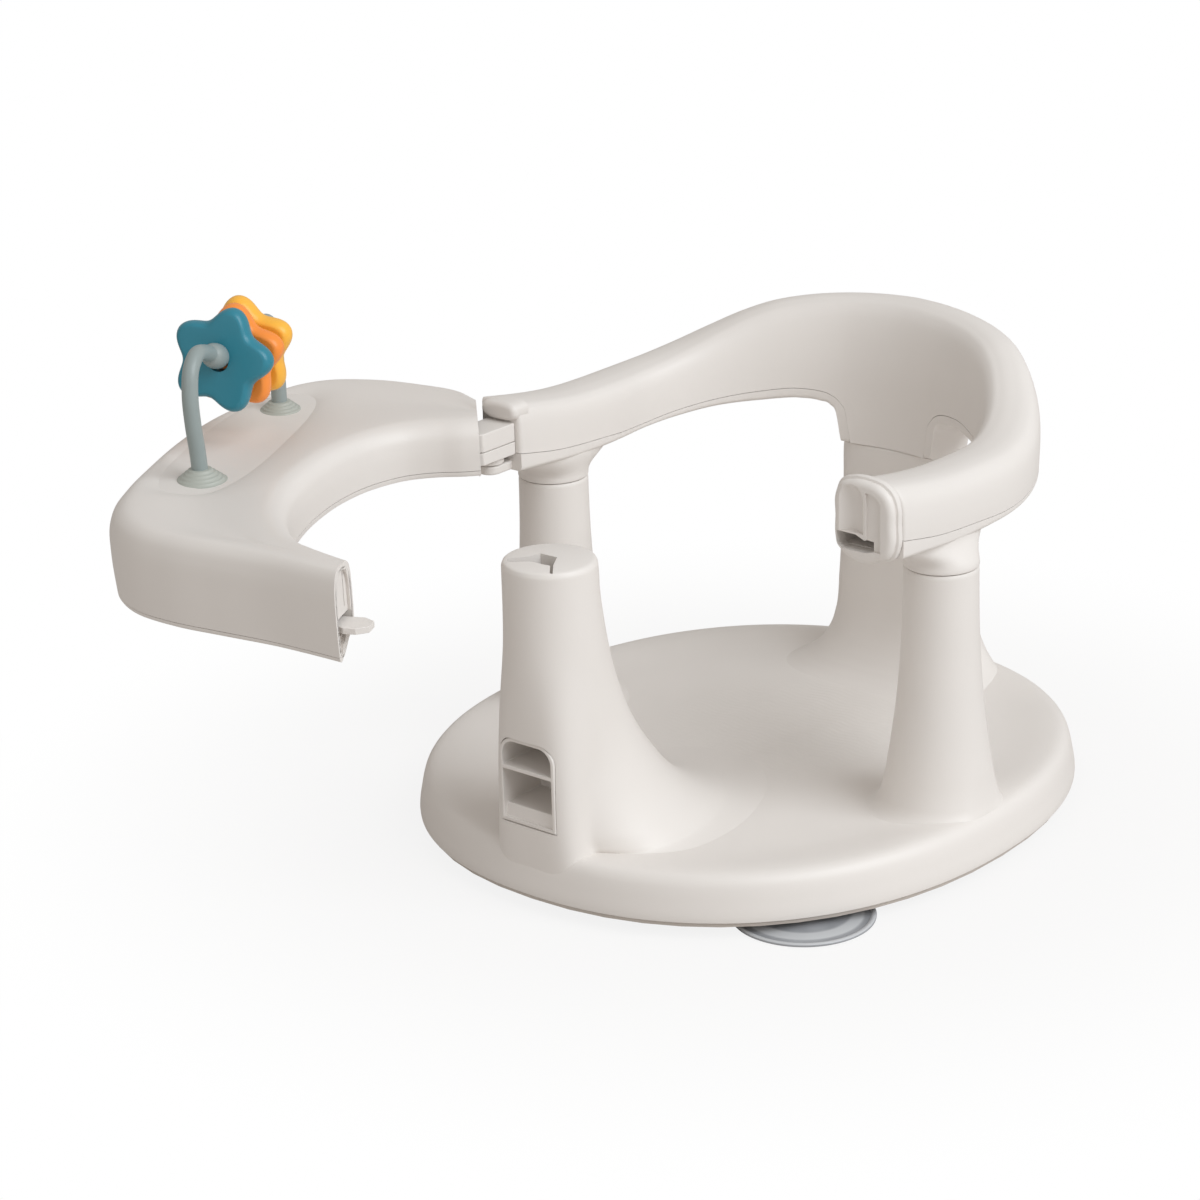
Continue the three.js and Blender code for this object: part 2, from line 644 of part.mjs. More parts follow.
// Shallow trough in the top, where the toy bar stands.
function toyTrough(grow, heights) {
  const middle = (TOY_FRONT.x + TOY_REAR.x) / 2;
  const half = (TOY_FRONT.x - TOY_REAR.x) / 2;
  return loft(heights.map(([z, reach]) => {
    const width = reach + grow;
    return oval(32, middle, TOY_FRONT.y, half + width + 4, width, width, z, 3.4);
  }));
}

const HINGE_SWEEP = 21.8; // radius kept free round the hinge inside the hollow end of the tray
const LINK = {
  x0: HINGE.x - 9, x1: HINGE.x + 9, y0: HINGE.y - 17.5, y1: ARM_END - SEAM, z0: 181, split: 187.6, z1: 197.4,
};
const PIN_TOP = 194;
const LUG_TOP = 176.8;

function hingeTab(z0, z1) {
  const eye = toSolid(turned(HINGE.x, HINGE.y, [[7, z0], [7, z1]], 16));
  const strip = toSolid(box(HINGE.x - 7, HINGE.x + 7, HINGE.y - 30, HINGE.y, z0, z1));
  return eye.add(strip);
}

const rodHole = (at) => turned(at.x, at.y, [[ROD_RADIUS + SEAM, 190], [ROD_RADIUS + SEAM, 215]], 12);

// Leans a shape with the axis of the hinge.
function leaned(geometry) {
  const { x, y, z } = HINGE;
  return geometry.translate(-x, -y, -z).rotateX(HINGE_LEAN).translate(x, y, z);
}

const pinHole = () => turned(HINGE.x, HINGE.y, [[3.1, 150], [3.1, PIN_TOP + SEAM]], 12);

function trayUpperShell() {
  const floor = toyTrough(2, [[TROUGH_FLOOR - TRAY_WALL, 15.8], [TROUGH_FLOOR + 4, 18.5]]);
  const cavity = toSolid(trayLoft(0, 1, trayCavityProfile, 9)).subtract(toSolid(floor));
  const trough = toyTrough(0, [
    [TROUGH_FLOOR, 15.8], [TROUGH_FLOOR + 0.8, 16.6], [TROUGH_FLOOR + 3, 18.5], [TRAY_TOP + 1, 22],
  ]);
  const free = turned(HINGE.x, HINGE.y, [[HINGE_SWEEP, 150], [HINGE_SWEEP, LINK.z1 + 2]], 28);
  const shell = toSolid(trayLoft(0, 1, trayOuterProfile)).subtract(cavity);
  return cut(shell, [free, trough, rodHole(TOY_FRONT), rodHole(TOY_REAR), ...tongueWay()]);
}

// Key under the tray that slides into the slot of the front post.
function postKey() {
  const radius = Math.hypot(HINGE.x, HINGE.y - FRONT_POST.y);
  const middle = Math.atan2(FRONT_POST.y - HINGE.y, -HINGE.x);
  const shape = new THREE.Shape();
  shape.absarc(HINGE.x, HINGE.y, radius + 1.3, middle - 0.08, middle + 0.01);
  shape.absarc(HINGE.x, HINGE.y, radius - 1.3, middle + 0.01, middle - 0.08, true);
  const g = new THREE.ExtrudeGeometry(shape, { depth: 11, bevelEnabled: false, curveSegments: 5 });
  return g.translate(0, 0, 168);
}

const TRAY_SCREWS = [[-120, -160], [-40, -150], [40, -130]];

function trayLowerShell() {
  const pan = toSolid(trayLoft(0, 1, trayLowerProfile));
  const free = turned(HINGE.x, HINGE.y, [[HINGE_SWEEP, 150], [HINGE_SWEEP, 220]], 28);
  const shanks = TRAY_SCREWS.map(([x, y]) => turned(x, y, [[2.2, 170], [2.2, 190]], 10));
  const body = cut(pan, [free]).add(hingeTab(LUG_TOP + PLAY, LINK.z0 - PLAY)).add(toSolid(postKey()));
  return cut(body, [...shanks, pinHole(), ...tongueWay()]);
}

function linkLayer(z0, z1) {
  const inset = 3;
  const { x0, x1, y0, y1 } = LINK;
  const outline = [
    [x0, y1], [x0, y0 + inset], [x0 + inset, y0], [x1 - inset, y0], [x1, y0 + inset], [x1, y1],
  ];
  const body = loft([z0, z1].map((z) => outline.map(([x, y]) => [x, y, z])));
  return cut(toSolid(body), [leaned(pinHole())]);
}

// Lug of the right arm below the link.
function lug() {
  const nose = toSolid(turned(HINGE.x, HINGE.y, [[5, 173], [6, 174], [6, LUG_TOP]], 16));
  return nose.add(toSolid(box(HINGE.x - 6, HINGE.x + 6, HINGE.y, ARM_END + 4, 173, LUG_TOP)));
}

function hingePin() {
  return leaned(turned(HINGE.x, HINGE.y, [[2.7, 172], [2.7, PIN_TOP]], 12));
}

// Latch

const BOSS = { x0: RING_HALF_WIDTH - 19.5, x1: RING_HALF_WIDTH + 16, front: -63.4, low: 170, high: 210 };
const PLUG = { x0: RING_HALF_WIDTH - 10.5, x1: RING_HALF_WIDTH + 6.5, z0: 183, z1: 196.2 };

// Front view of the receptacle, rounded all round.
function bossOutline(inset) {
  const { x0, x1, low, high } = BOSS;
  const a = x0 + inset;
  const b = x1 - inset;
  const foot = low + inset;
  const head = high - inset;
  return [
    [a + 6, foot], [b - 7, foot], [b - 2, foot + 3], [b, foot + 9], [b, head - 13], [b - 3, head - 6],
    [b - 9, head - 1.6], [(a + b) / 2 - 3, head], [a + 7, head - 1.8], [a + 2, head - 5], [a, head - 10],
    [a, foot + 6], [a + 2, foot + 2],
  ];
}

function receptacle() {
  const { front } = BOSS;
  const steps = [[ARM_END - SEAM, 0], [-59.4, 0], [-60, 1.6], [-62, 2], [front, 3.4]];
  const cap = toSolid(loft(steps.map(([y, inset]) => bossOutline(inset).map(([x, z]) => [x, y, z]))));
  const plug = toSolid(box(PLUG.x0, PLUG.x1, ARM_END - 2, ARM_END + 12, PLUG.z0, PLUG.z1));
  const grooveA = turned(BOSS.x0 + 10, front, [[3.4, 185], [3.4, 204]], 12);
  const grooveB = turned(BOSS.x0 + 18.5, front, [[3.4, 185], [3.4, 201]], 12);
  const slot = box(BOSS.x0 + 2.4, BOSS.x1 - 12, -80, ARM_END + 30, TONGUE_Z - 2.2, PLUG.z0 - 0.4);
  return cut(cap.add(plug), [grooveA, grooveB, slot]);
}

const TONGUE_TRAVEL = 8;
const TONGUE_HALF = 1.5; // half thickness of the blade

// Outline of the blade: x from the middle of the arm, y from the arm's end.
const TONGUE_OUTLINE = [
  [-17.5, -42], [-14, -32], [-14, -2], [-10.5, 3.5], [-3.5, 3.5], [0, -2], [0, -8],
  [-2.5, -12], [-9, -28], [-14, -42],
].map(([x, y]) => [RING_HALF_WIDTH + x, ARM_END + y]);
const [TONGUE_LEFT, TONGUE_BACK] = TONGUE_OUTLINE[0];

function tongue() {
  const z0 = TONGUE_Z - TONGUE_HALF;
  const z1 = TONGUE_Z + TONGUE_HALF;
  const blade = loft([z0, z1].map((z) => TONGUE_OUTLINE.map(([x, y]) => [x, y, z])));
  const heel = box(TONGUE_LEFT - 10, TONGUE_LEFT + 3, TONGUE_BACK, TONGUE_BACK + 9, z0 + 0.6, z1 + 6);
  return joined([blade, heel]);
}

// Room inside the tray that the blade and its heel sweep through.
function tongueWay() {
  const left = TONGUE_LEFT - SEAM;
  const back = TONGUE_BACK - TONGUE_TRAVEL - SEAM;
  const side = TONGUE_OUTLINE.slice(6, -1).map(([x, y]) => [x + SEAM, y - TONGUE_TRAVEL]);
  const end = TONGUE_OUTLINE[TONGUE_OUTLINE.length - 1][0] + SEAM;
  const outline = [[left, back], [left, ARM_END], [side[0][0], ARM_END], ...side, [end, back]];
  const z0 = TONGUE_Z - TONGUE_HALF - SEAM;
  const z1 = TONGUE_Z + TONGUE_HALF + SEAM;
  const blade = loft([z0, z1].map((z) => outline.map(([x, y]) => [x, y, z])));
  const heel = box(left - 10, TONGUE_LEFT + 3 + SEAM, back, TONGUE_BACK + 9 + SEAM, z0 + 0.6, z1 + 6);
  return [blade, heel];
}

class Helix extends THREE.Curve {
  constructor(start, length, radius, turns) {
    super();
    Object.assign(this, { start, length, radius, turns });
  }

  getPoint(t, target = new THREE.Vector3()) {
    const angle = 2 * Math.PI * this.turns * t;
    const x = this.start.x + this.radius * Math.cos(angle);
    const z = this.start.z + this.radius * Math.sin(angle);
    return target.set(x, this.start.y + this.length * t, z);
  }
}

function disc(radius, count) {
  const shape = new THREE.Shape();
  for (let i = 0; i < count; i += 1) {
    const a = (2 * Math.PI * i) / count;
    const move = i === 0 ? 'moveTo' : 'lineTo';
    shape[move](radius * Math.cos(a), radius * Math.sin(a));
  }
  return shape;
}

function latchSpring() {
  const start = new THREE.Vector3(TONGUE_LEFT - 2.5, TONGUE_BACK - 14.5, TONGUE_Z + 4.5);
  const path = new Helix(start, 14, 3, 5);
  return new THREE.ExtrudeGeometry(disc(0.45, 5), { steps: 40, bevelEnabled: false, extrudePath: path });
}

// Toy bar

// Middle line of the rod: distance from the front foot towards the rear one, and height.
const ROD_LINE = [
  [0, 192.4], [0, 206], [-1, 217], [-3.4, 232], [-3.6, 247], [0, 257.5], [8, 262.5], [18, 260.8],
  [28, 256.4], [39, 252], [52, 249.2], [66, 248.6], [80, 250], [91, 252.4], [100, 252],
  [106.4, 247], [109, 238], [109.4, 222], [109, 206], [109, 192.4],
];

function rodCurve() {
  const points = ROD_LINE.map(([s, z]) => new THREE.Vector3(TOY_FRONT.x - s, TOY_FRONT.y, z));
  return new THREE.CatmullRomCurve3(points);
}

function toyRod() {
  const settings = { steps: 34, bevelEnabled: false, extrudePath: rodCurve() };
  return new THREE.ExtrudeGeometry(disc(ROD_RADIUS, 10), settings);
}

// Stepped cone round the foot of the rod.
function toyFoot(at, radius, height) {
  const base = TROUGH_FLOOR + SEAM;
  const steps = 5;
  const profile = [[radius, base]];
  for (let i = 0; i < steps; i += 1) {
    const r = radius - (i * (radius - 6)) / (steps - 1);
    profile.push([r, base + (height * (i + 0.7)) / steps], [r - 0.6, base + (height * (i + 1)) / steps]);
  }
  return cut(toSolid(turned(at.x, at.y, profile, 20)), [rodHole(at)]);
}

function rodNut(at) {
  const top = TROUGH_FLOOR - TRAY_WALL - SEAM;
  const hex = turned(at.x, at.y, [[7.6, top - 4], [7.6, top]], 6);
  return cut(toSolid(hex), [rodHole(at)]);
}

// A five-lobed star on the rod, at this distance from the front foot, turned by phase degrees.
function star(distance, phase) {
  const z = along(ROD_LINE, distance);
  const slope = Math.atan2(along(ROD_LINE, distance + 5) - along(ROD_LINE, distance - 5), 10) / 2;
  const sections = [[-0.5, 0.8], [-0.42, 0.93], [-0.26, 1], [0.26, 1], [0.42, 0.93], [0.5, 0.8]];
  const rings = sections.map(([h, scale]) => {
    const ring = [];
    for (let i = 0; i < 30; i += 1) {
      const a = (2 * Math.PI * i) / 30;
      const lobe = 21.2 + 5.4 * Math.cos(5 * (a - THREE.MathUtils.degToRad(phase)));
      const r = lobe - (1 - scale) * 14;
      ring.push([-h * STAR_THICKNESS, r * Math.cos(a), r * Math.sin(a)]);
    }
    return ring;
  });
  const hole = new THREE.CylinderGeometry(6.3, 6.3, 20, 16).rotateZ(QUARTER);
  const body = toGeometry(cut(toSolid(loft(rings)), [hole]));
  return body.rotateY(slope).translate(TOY_FRONT.x - distance, TOY_FRONT.y, z - STAR_SAG);
}

// Assembly

const pose = trayPose();

function posed(shape) {
  const geometry = shape instanceof THREE.BufferGeometry ? tidy(shape) : toGeometry(shape);
  return geometry.applyMatrix4(pose);
}

function addMany(name, shapes, finish) {
  const group = new THREE.Group();
  group.name = name;
  shapes.forEach((shape, i) => {
    const mesh = new THREE.Mesh(tidy(shape), material(finish));
    mesh.name = `${name}_${i + 1}`;
    group.add(mesh);
  });
  seat.add(group);
}

const plateScrews = PLATE_SCREWS.map(([x, y]) => screw(x, y, 4.2, 7));
const traySpan = trayStation(0.5).low;
const trayScrews = TRAY_SCREWS.map(([x, y]) => posed(screw(x, y, traySpan - 2.3, 7)));

const roomX = BOSS.x0 + 5.2;
const tongueRoom = box(roomX, roomX + 18.8, ARM_END - 1, ARM_END + 12, TONGUE_Z - 2.2, PLUG.z0 + 7);

addNode('base_shell', baseShell(), BEIGE);
addNode('base_bottom_plate', basePlate(), BEIGE_SHADE);
addMany('base_screws', plateScrews, STEEL);
CUPS.forEach(([place, x, y]) => addNode(`suction_cup_${place}`, suctionCup(x, y), CUP_GREY));
addNode('pocket_insert', pocketInsert(), BEIGE);
addNode('ring_upper_shell', upperShell(), BEIGE);
addNode('arm_lower_shell_left', cut(lowerShell(1), [tongueRoom]), BEIGE);
addNode('arm_lower_shell_right', cut(lowerShell(-1).add(lug()), [armCorner(), leaned(pinHole())]), BEIGE);
addNode('latch_receptacle', receptacle(), BEIGE);
addNode('hinge_link_upper', linkLayer(LINK.split + SEAM / 2, LINK.z1), BEIGE);
addNode('hinge_link_lower', linkLayer(LINK.z0, LINK.split - SEAM / 2), BEIGE);
addNode('hinge_pin', hingePin(), STEEL);
addNode('tray_upper_shell', posed(trayUpperShell()), BEIGE);
addNode('tray_lower_shell', posed(trayLowerShell()), BEIGE);
addMany('tray_screws', trayScrews, STEEL);
addNode('latch_tongue', posed(tongue()), BEIGE);
addNode('latch_spring', posed(latchSpring()), STEEL);
addNode('toy_rod', posed(toyRod()), ROD_GREY);
addNode('toy_foot_front', posed(toyFoot(TOY_FRONT, 13.2, 7.2)), FOOT_GREY);
addNode('toy_foot_rear', posed(toyFoot(TOY_REAR, 12, 6.4)), FOOT_GREY);
addMany('toy_rod_nuts', [TOY_FRONT, TOY_REAR].map((at) => posed(rodNut(at))), STEEL);
addNode('star_teal', posed(star(39, 0)), TEAL);
addNode('star_orange', posed(star(55, 14)), ORANGE);
addNode('star_yellow', posed(star(70, 22)), YELLOW);

export default seat;
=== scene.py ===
# %% [markdown]
# # A baby bath seat, dressed for a studio picture
#
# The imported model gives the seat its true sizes, places and joints, but its surfaces are made of flat
# facets. This lesson builds the fine moulded surfaces over that frame, one piece at a time, and gives
# each material its own recipe of shader nodes. Nothing here moves the frame: every new piece is worked
# out in the frame's own coordinates and then rides on the body that it belongs to.

import math

import bmesh
import bpy
import numpy as np
from mathutils import Matrix, Vector


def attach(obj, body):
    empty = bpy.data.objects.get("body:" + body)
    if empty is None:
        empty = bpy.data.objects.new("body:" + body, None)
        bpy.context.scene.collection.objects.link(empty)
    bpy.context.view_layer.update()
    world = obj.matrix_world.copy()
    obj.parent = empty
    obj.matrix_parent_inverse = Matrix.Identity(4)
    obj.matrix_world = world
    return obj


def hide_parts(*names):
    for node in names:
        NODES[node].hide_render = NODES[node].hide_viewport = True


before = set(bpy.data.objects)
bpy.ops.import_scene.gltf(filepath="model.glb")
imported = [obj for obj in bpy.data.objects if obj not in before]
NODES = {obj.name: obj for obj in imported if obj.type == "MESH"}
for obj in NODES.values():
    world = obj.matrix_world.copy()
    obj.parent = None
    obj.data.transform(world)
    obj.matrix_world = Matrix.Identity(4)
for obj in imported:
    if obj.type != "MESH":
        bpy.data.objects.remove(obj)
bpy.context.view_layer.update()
MM = 0.001

# %% [markdown]
# ## Curves through chosen points
#
# A moulded shape is known from a few sections. To get a smooth surface between them, every measure of
# the section is carried along a smooth curve. A cubic on each stretch is enough, when neighbouring
# stretches share their slope. A "steady" curve never swings past the values that it goes through, which
# keeps a profile from bulging between two points.

# %% Smooth curves


def spline(knots, values, at, steady=True):
    """Values at rising knots, joined by cubics. The slope at a knot is the mean of the two straight
    slopes beside it, weighted by nearness, and a steady curve limits it to three times the smaller."""
    knots = np.asarray(knots, float)
    values = np.asarray(values, float)
    shape = values.shape[1:]
    values = values.reshape(len(knots), -1)
    step = np.diff(knots)[:, None]
    slope = np.diff(values, axis=0) / step
    inner = (slope[:-1] * step[1:] + slope[1:] * step[:-1]) / (step[1:] + step[:-1])
    if steady:
        limit = 3 * np.minimum(np.abs(slope[:-1]), np.abs(slope[1:]))
        inner = np.where(slope[:-1] * slope[1:] > 0, np.clip(inner, -limit, limit), 0)
    tangent = np.vstack([slope[:1], inner, slope[-1:]])
    at = np.clip(np.asarray(at, float), knots[0], knots[-1])
    k = np.clip(np.searchsorted(knots, at, side="right") - 1, 0, len(knots) - 2)
    h = step[k]
    u = (at - knots[k])[:, None] / h
    near = (1 + 2 * u) * (1 - u) ** 2 * values[k] + u * (1 - u) ** 2 * h * tangent[k]
    far = u * u * (3 - 2 * u) * values[k + 1] - u * u * (1 - u) * h * tangent[k + 1]
    return (near + far).reshape(len(at), *shape)


def table(rows, at):
    """A curve through [knot, value] rows."""
    rows = np.array(rows)
    return spline(rows[:, 0], rows[:, 1], at)


def softly_lower(a, b, softness):
    """The lower of two values, rounded where they meet."""
    share = np.clip(0.5 + 0.5 * (b - a) / softness, 0, 1)
    return b + (a - b) * share - softness * share * (1 - share)


def lengths(points):
    """Distance travelled along the points, from 0 at the first."""
    return np.concatenate([[0], np.cumsum(np.linalg.norm(np.diff(points, axis=0), axis=1))])


def path(points, at, steady=False):
    """A smooth curve through the points, at these shares of its length."""
    points = np.asarray(points, float)
    knots = lengths(points)
    fine = spline(knots, points, np.linspace(0, knots[-1], 60 * len(points)), steady)
    gone = lengths(fine)
    return np.column_stack([np.interp(np.asarray(at) * gone[-1], gone, axis) for axis in fine.T])


def halved(low, high, holds, steps=22):
    """Where a test that holds from low upwards stops holding, found by halving the interval."""
    for _ in range(steps):
        middle = (low + high) / 2
        still = holds(middle)
        low, high = np.where(still, middle, low), np.where(still, high, middle)
    return low


def shares(count):
    """Evenly spaced shares, from 0 to 1."""
    return np.linspace(0, 1, count)


def round_angles(count):
    """Evenly spaced angles of one turn, the first at 0."""
    return 2 * math.pi * np.arange(count) / count


print("halfway along a bend:", path([[0, 0], [10, 0], [10, 10]], [0.5]).round(2))

# %% [markdown]
# ## From rows of points to a closed skin
#
# A surface is a grid of points: rows along the piece, columns around it. Four neighbours make a face,
# the last column joins the first, and one flat face closes each end. The sign of the enclosed volume
# says whether the faces look out, so the order is turned round where it has to be. Shading is smooth,
# with a crease wherever two faces meet at more than a chosen angle.

# %% Skins


def facing_out(points, faces):
    """The faces, each turned round if the volume that they enclose comes out negative."""
    volume = 0.0
    for corners in faces:
        for k in range(1, corners.shape[1] - 1):
            a, b, c = (points[corners[:, i]] for i in (0, k, k + 1))
            volume += np.einsum("ij,ij->", a, np.cross(b, c))
    return faces if volume > 0 else [corners[:, ::-1] for corners in faces]


def shaded(mesh, crease):
    """Smooth shading, with a crease wherever two faces meet at more than this angle."""
    mesh.polygons.foreach_set("use_smooth", np.ones(len(mesh.polygons), bool))
    mesh.set_sharp_from_angle(angle=math.radians(crease))
    mesh.update()


def piece(name, points, faces, crease=32):
    """A mesh object from points in millimetres and a list of face arrays."""
    points = np.asarray(points, float)
    faces = facing_out(points, [np.asarray(corners) for corners in faces])
    mesh = bpy.data.meshes.new(name)
    mesh.from_pydata((points * MM).tolist(), [], [f for corners in faces for f in corners.tolist()])
    mesh.validate()
    shaded(mesh, crease)
    made = bpy.data.objects.new(name, mesh)
    bpy.context.scene.collection.objects.link(made)
    return made


def grid_faces(rows, around, closed=True):
    """Faces of a grid whose points are numbered row by row."""
    last = around if closed else around - 1
    i, j = np.meshgrid(np.arange(rows - 1), np.arange(last), indexing="ij")
    a = i * around + j
    b = i * around + (j + 1) % around
    return np.stack([a, b, b + around, a + around], -1).reshape(-1, 4)


def skin(name, rings, crease=32):
    """A closed body through rings of equally many points, each end closed by one flat face."""
    rings = np.asarray(rings, float)
    rows, around, _ = rings.shape
    first = np.arange(around)[None, ::-1]
    last = (rows - 1) * around + np.arange(around)[None]
    return piece(name, rings.reshape(-1, 3), [grid_faces(rows, around), first, last], crease)


def walled(name, outer, inner, crease=32):
    """A wall between two open grids of the same size, closed all round its edge."""
    rows, across, _ = outer.shape
    count = rows * across
    face = grid_faces(rows, across, closed=False)
    index = np.arange(count).reshape(rows, across)
    edge = np.concatenate([index[0, :-1], index[:-1, -1], index[-1, :0:-1], index[:0:-1, 0]])
    after = np.roll(edge, -1)
    rim = np.stack([after, edge, edge + count, after + count], -1)
    points = np.concatenate([outer.reshape(-1, 3), inner.reshape(-1, 3)])
    return piece(name, points, [face, face[:, ::-1] + count, rim], crease)


def polar_rings(centre, radius, angles, heights):
    """Level rings round a centre: radius is rows by angles, and centre and height are one per row."""
    cx, cy = (np.broadcast_to(np.asarray(c, float), (len(heights),))[:, None] for c in centre)
    x = cx + radius * np.cos(angles)
    y = cy + radius * np.sin(angles)
    z = np.broadcast_to(np.asarray(heights, float)[:, None], radius.shape)
    return np.stack([x, y, z], -1)


def oval_radius(angles, half_x, half_y, power):
    """Distance from the middle to a rounded rectangle: the sum of |x / half_x| ** power and
    |y / half_y| ** power is 1. With power 2 it is an ellipse, and higher powers are squarer."""
    c = np.abs(np.cos(angles)) / half_x
    s = np.abs(np.sin(angles)) / half_y
    return (c ** power + s ** power) ** (-1 / power)


def turned(name, x, y, profile, rows=60, around=96, crease=32):
    """A round body about an upright line, its [radius, height] profile smoothed."""
    line = path(profile, shares(rows), steady=True)
    radius = np.repeat(line[:, :1], around, axis=1)
    return skin(name, polar_rings((x, y), radius, round_angles(around), line[:, 1]), crease)


def extruded(name, outline, ends, axis=2, placed=np.asarray):
    """A block between two places on one axis, with its outline given in the other two."""
    flat = np.asarray(outline, float)
    return skin(name, placed([np.insert(flat, axis, end, axis=1) for end in ends]))


def carved(made, cutters):
    """Cuts the closed cutters out of a piece and throws them away."""
    for cutter in cutters:
        modifier = made.modifiers.new("cut", "BOOLEAN")
        modifier.operation = "DIFFERENCE"
        modifier.solver = "EXACT"
        modifier.object = cutter
    bpy.context.view_layer.update()
    mesh = bpy.data.meshes.new_from_object(made.evaluated_get(bpy.context.evaluated_depsgraph_get()))
    made.modifiers.clear()
    made.data = mesh
    shaded(mesh, 32)
    for cutter in cutters:
        bpy.data.objects.remove(cutter)
    return made


def rounded_edges(made, width, segments=3, angle=32):
    """A bevel on every edge that is sharper than the angle."""
    modifier = made.modifiers.new("rounded edges", "BEVEL")
    modifier.width = width * MM
    modifier.segments = segments
    modifier.limit_method = "ANGLE"
    modifier.angle_limit = math.radians(angle)
    modifier.harden_normals = False
    return made


# %% [markdown]
# ## Joining a piece to its body
#
# Each new piece says which body carries it, which facets it takes the place of, and which finish of the
# record it wears. The list of beige pieces is kept, because they all get the same moulded plastic.

# %% Riding and standing in
FINISHED = {}


def belongs(made, body, slot, *nodes):
    """Lets a piece ride on its body, take its finish and stand in for these nodes."""
    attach(made, body)
    if nodes:
        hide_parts(*nodes)
    FINISHED.setdefault(slot, []).append(made)
    return made


def softened(node, body, slot, width=0.6, segments=3):
    """A merged copy of a faceted node, with its sharp edges rounded."""
    mesh = NODES[node].data.copy()
    work = bmesh.new()
    work.from_mesh(mesh)
    bmesh.ops.remove_doubles(work, verts=work.verts, dist=1e-6)
    bmesh.ops.dissolve_limit(work, angle_limit=math.radians(1), verts=work.verts, edges=work.edges)
    work.to_mesh(mesh)
    work.free()
    made = bpy.data.objects.new(node + "_finished", mesh)
    bpy.context.scene.collection.objects.link(made)
    mesh.materials.clear()
    shaded(mesh, 32)
    rounded_edges(made, width, segments)
    return belongs(made, body, slot, node)


# %% [markdown]
# ## The oval base
#
# The base is one moulding: an oval that is a little squarer than an ellipse, with a rounded rim and a
# seat that is dished a few millimetres below it. One profile of [distance in from the edge, height] is
# carried round the oval. The posts are separate skins that flare until they lie flush on the seat, so
# the eye sees one moulding.

# %% Base
BASE_HALF = np.array([157.5, 176.4])
BASE_POWER = 2.18
SEAT_TOP = 27.5
BASE_PROFILE = [
    [1.4, 8.2], [0.5, 8.5], [0.05, 9.8], [0.3, 13], [1.2, 18], [2.3, 23.5], [3.6, 27.4], [5.6, 29.9],
    [8.6, 31.1], [12, 31.3], [17, 31], [25, 29.9], [36, 28.5], [48, 27.8], [60, SEAT_TOP], [90, 27.3],
    [120, 27.2], [150, 27.2],
]


def base_dish():
    """A ring for each [inset, height] of the profile: the base's oval, with both half sizes less the
    inset."""
    line = path(BASE_PROFILE, shares(110), steady=True)
    angles = round_angles(288)
    half = BASE_HALF - line[:, :1]
    radius = np.stack([oval_radius(angles, hx, hy, BASE_POWER) for hx, hy in half])
    return skin("base_dish", polar_rings((0, 0), radius, angles, line[:, 1]))


BASE_MARGIN = [[26, 5.8], [31, 6.2], [35, 6.9], [45, 7.6], [60, 0], [75, -30]]  # height, inset from the oval


def within_base(x, y, radius, angles, z):
    """Radii round (x, y), softly limited to the base's oval, drawn in by a margin that carries on from
    the rounding of the rim."""
    half = [size - table(BASE_MARGIN, z)[:, None] for size in BASE_HALF]

    def inside(reach):
        px, py = np.abs(x + reach * np.cos(angles)), np.abs(y + reach * np.sin(angles))
        return (px / half[0]) ** BASE_POWER + (py / half[1]) ** BASE_POWER <= 1

    return softly_lower(radius, halved(np.zeros_like(radius), np.full_like(radius, 400.0), inside), 3.0)


base = belongs(base_dish(), "seat", "beige_plastic", "base_shell")
print("base", len(base.data.polygons), "faces")

# %% [markdown]
# ## Side posts and rear post
#
# A side post is round, so its profile is turned about its middle line. The rear post is a broad flat
# column: at each height its section is a rounded rectangle, and its width, its front and its back face
# are carried on smooth curves of the height. Both end in a wide foot that runs out level.

# %% Posts
SIDE_POST_AT = (122.2, -6.4)
SIDE_POST_PROFILE = [
    [42, 26.4], [37.5, 27.3], [34, 28.6], [31.6, 30.6], [29.8, 33.4], [28.5, 37.5], [27.2, 43],
    [26, 50], [24.6, 59], [23.1, 70], [21.4, 84], [19.9, 102], [18.85, 122], [18.35, 145],
    [18.3, 152.6], [17.7, 153.3],
]
REAR_POST_RINGS = [  # half width, front face, rear face, height
    [66, 93, 163, 26.6], [61, 98.5, 166, 28], [56, 103.5, 168, 30.4], [51, 108, 168.5, 34],
    [46, 112.6, 168, 39.5], [42.2, 116.6, 166.8, 46.5], [39.6, 120, 165, 57], [36.9, 122, 163, 78],
    [34.6, 123.5, 160, 104], [32.8, 124.5, 156, 132], [32, 125, 153.2, 153.6], [31.2, 125.8, 152.4, 154.3],
]


def side_post(side, place):
    """Circles whose radius follows the profile with height, held inside the rim of the base."""
    line = path(SIDE_POST_PROFILE, shares(110), steady=True)
    angles = round_angles(120)
    x, y = side * SIDE_POST_AT[0], SIDE_POST_AT[1]
    radius = within_base(x, y, np.repeat(line[:, :1], len(angles), axis=1), angles, line[:, 1])
    return skin(f"side_post_{place}", polar_rings((x, y), radius, angles, line[:, 1]))


def rear_post():
    """Rounded rectangles: at each height the sum of |x / half width| ** p and |y / half depth| ** p is
    1, and p rises slowly above the foot, so the column gets squarer."""
    rings = np.array(REAR_POST_RINGS)
    z = np.concatenate([np.linspace(26.6, 60, 60), np.linspace(61, 153.6, 50), [154, 154.3]])
    half, front, rear = spline(rings[:, 3], rings[:, :3], z).T
    power = 3.2 + np.maximum(0, z - 58) * 0.035
    angles = round_angles(200)
    radius = oval_radius(angles, half[:, None], (rear - front)[:, None] / 2, power[:, None])
    middle = (front + rear) / 2
    radius = within_base(0, middle[:, None], radius, angles, z)
    return skin("rear_post", polar_rings((0, middle), radius, angles, z))


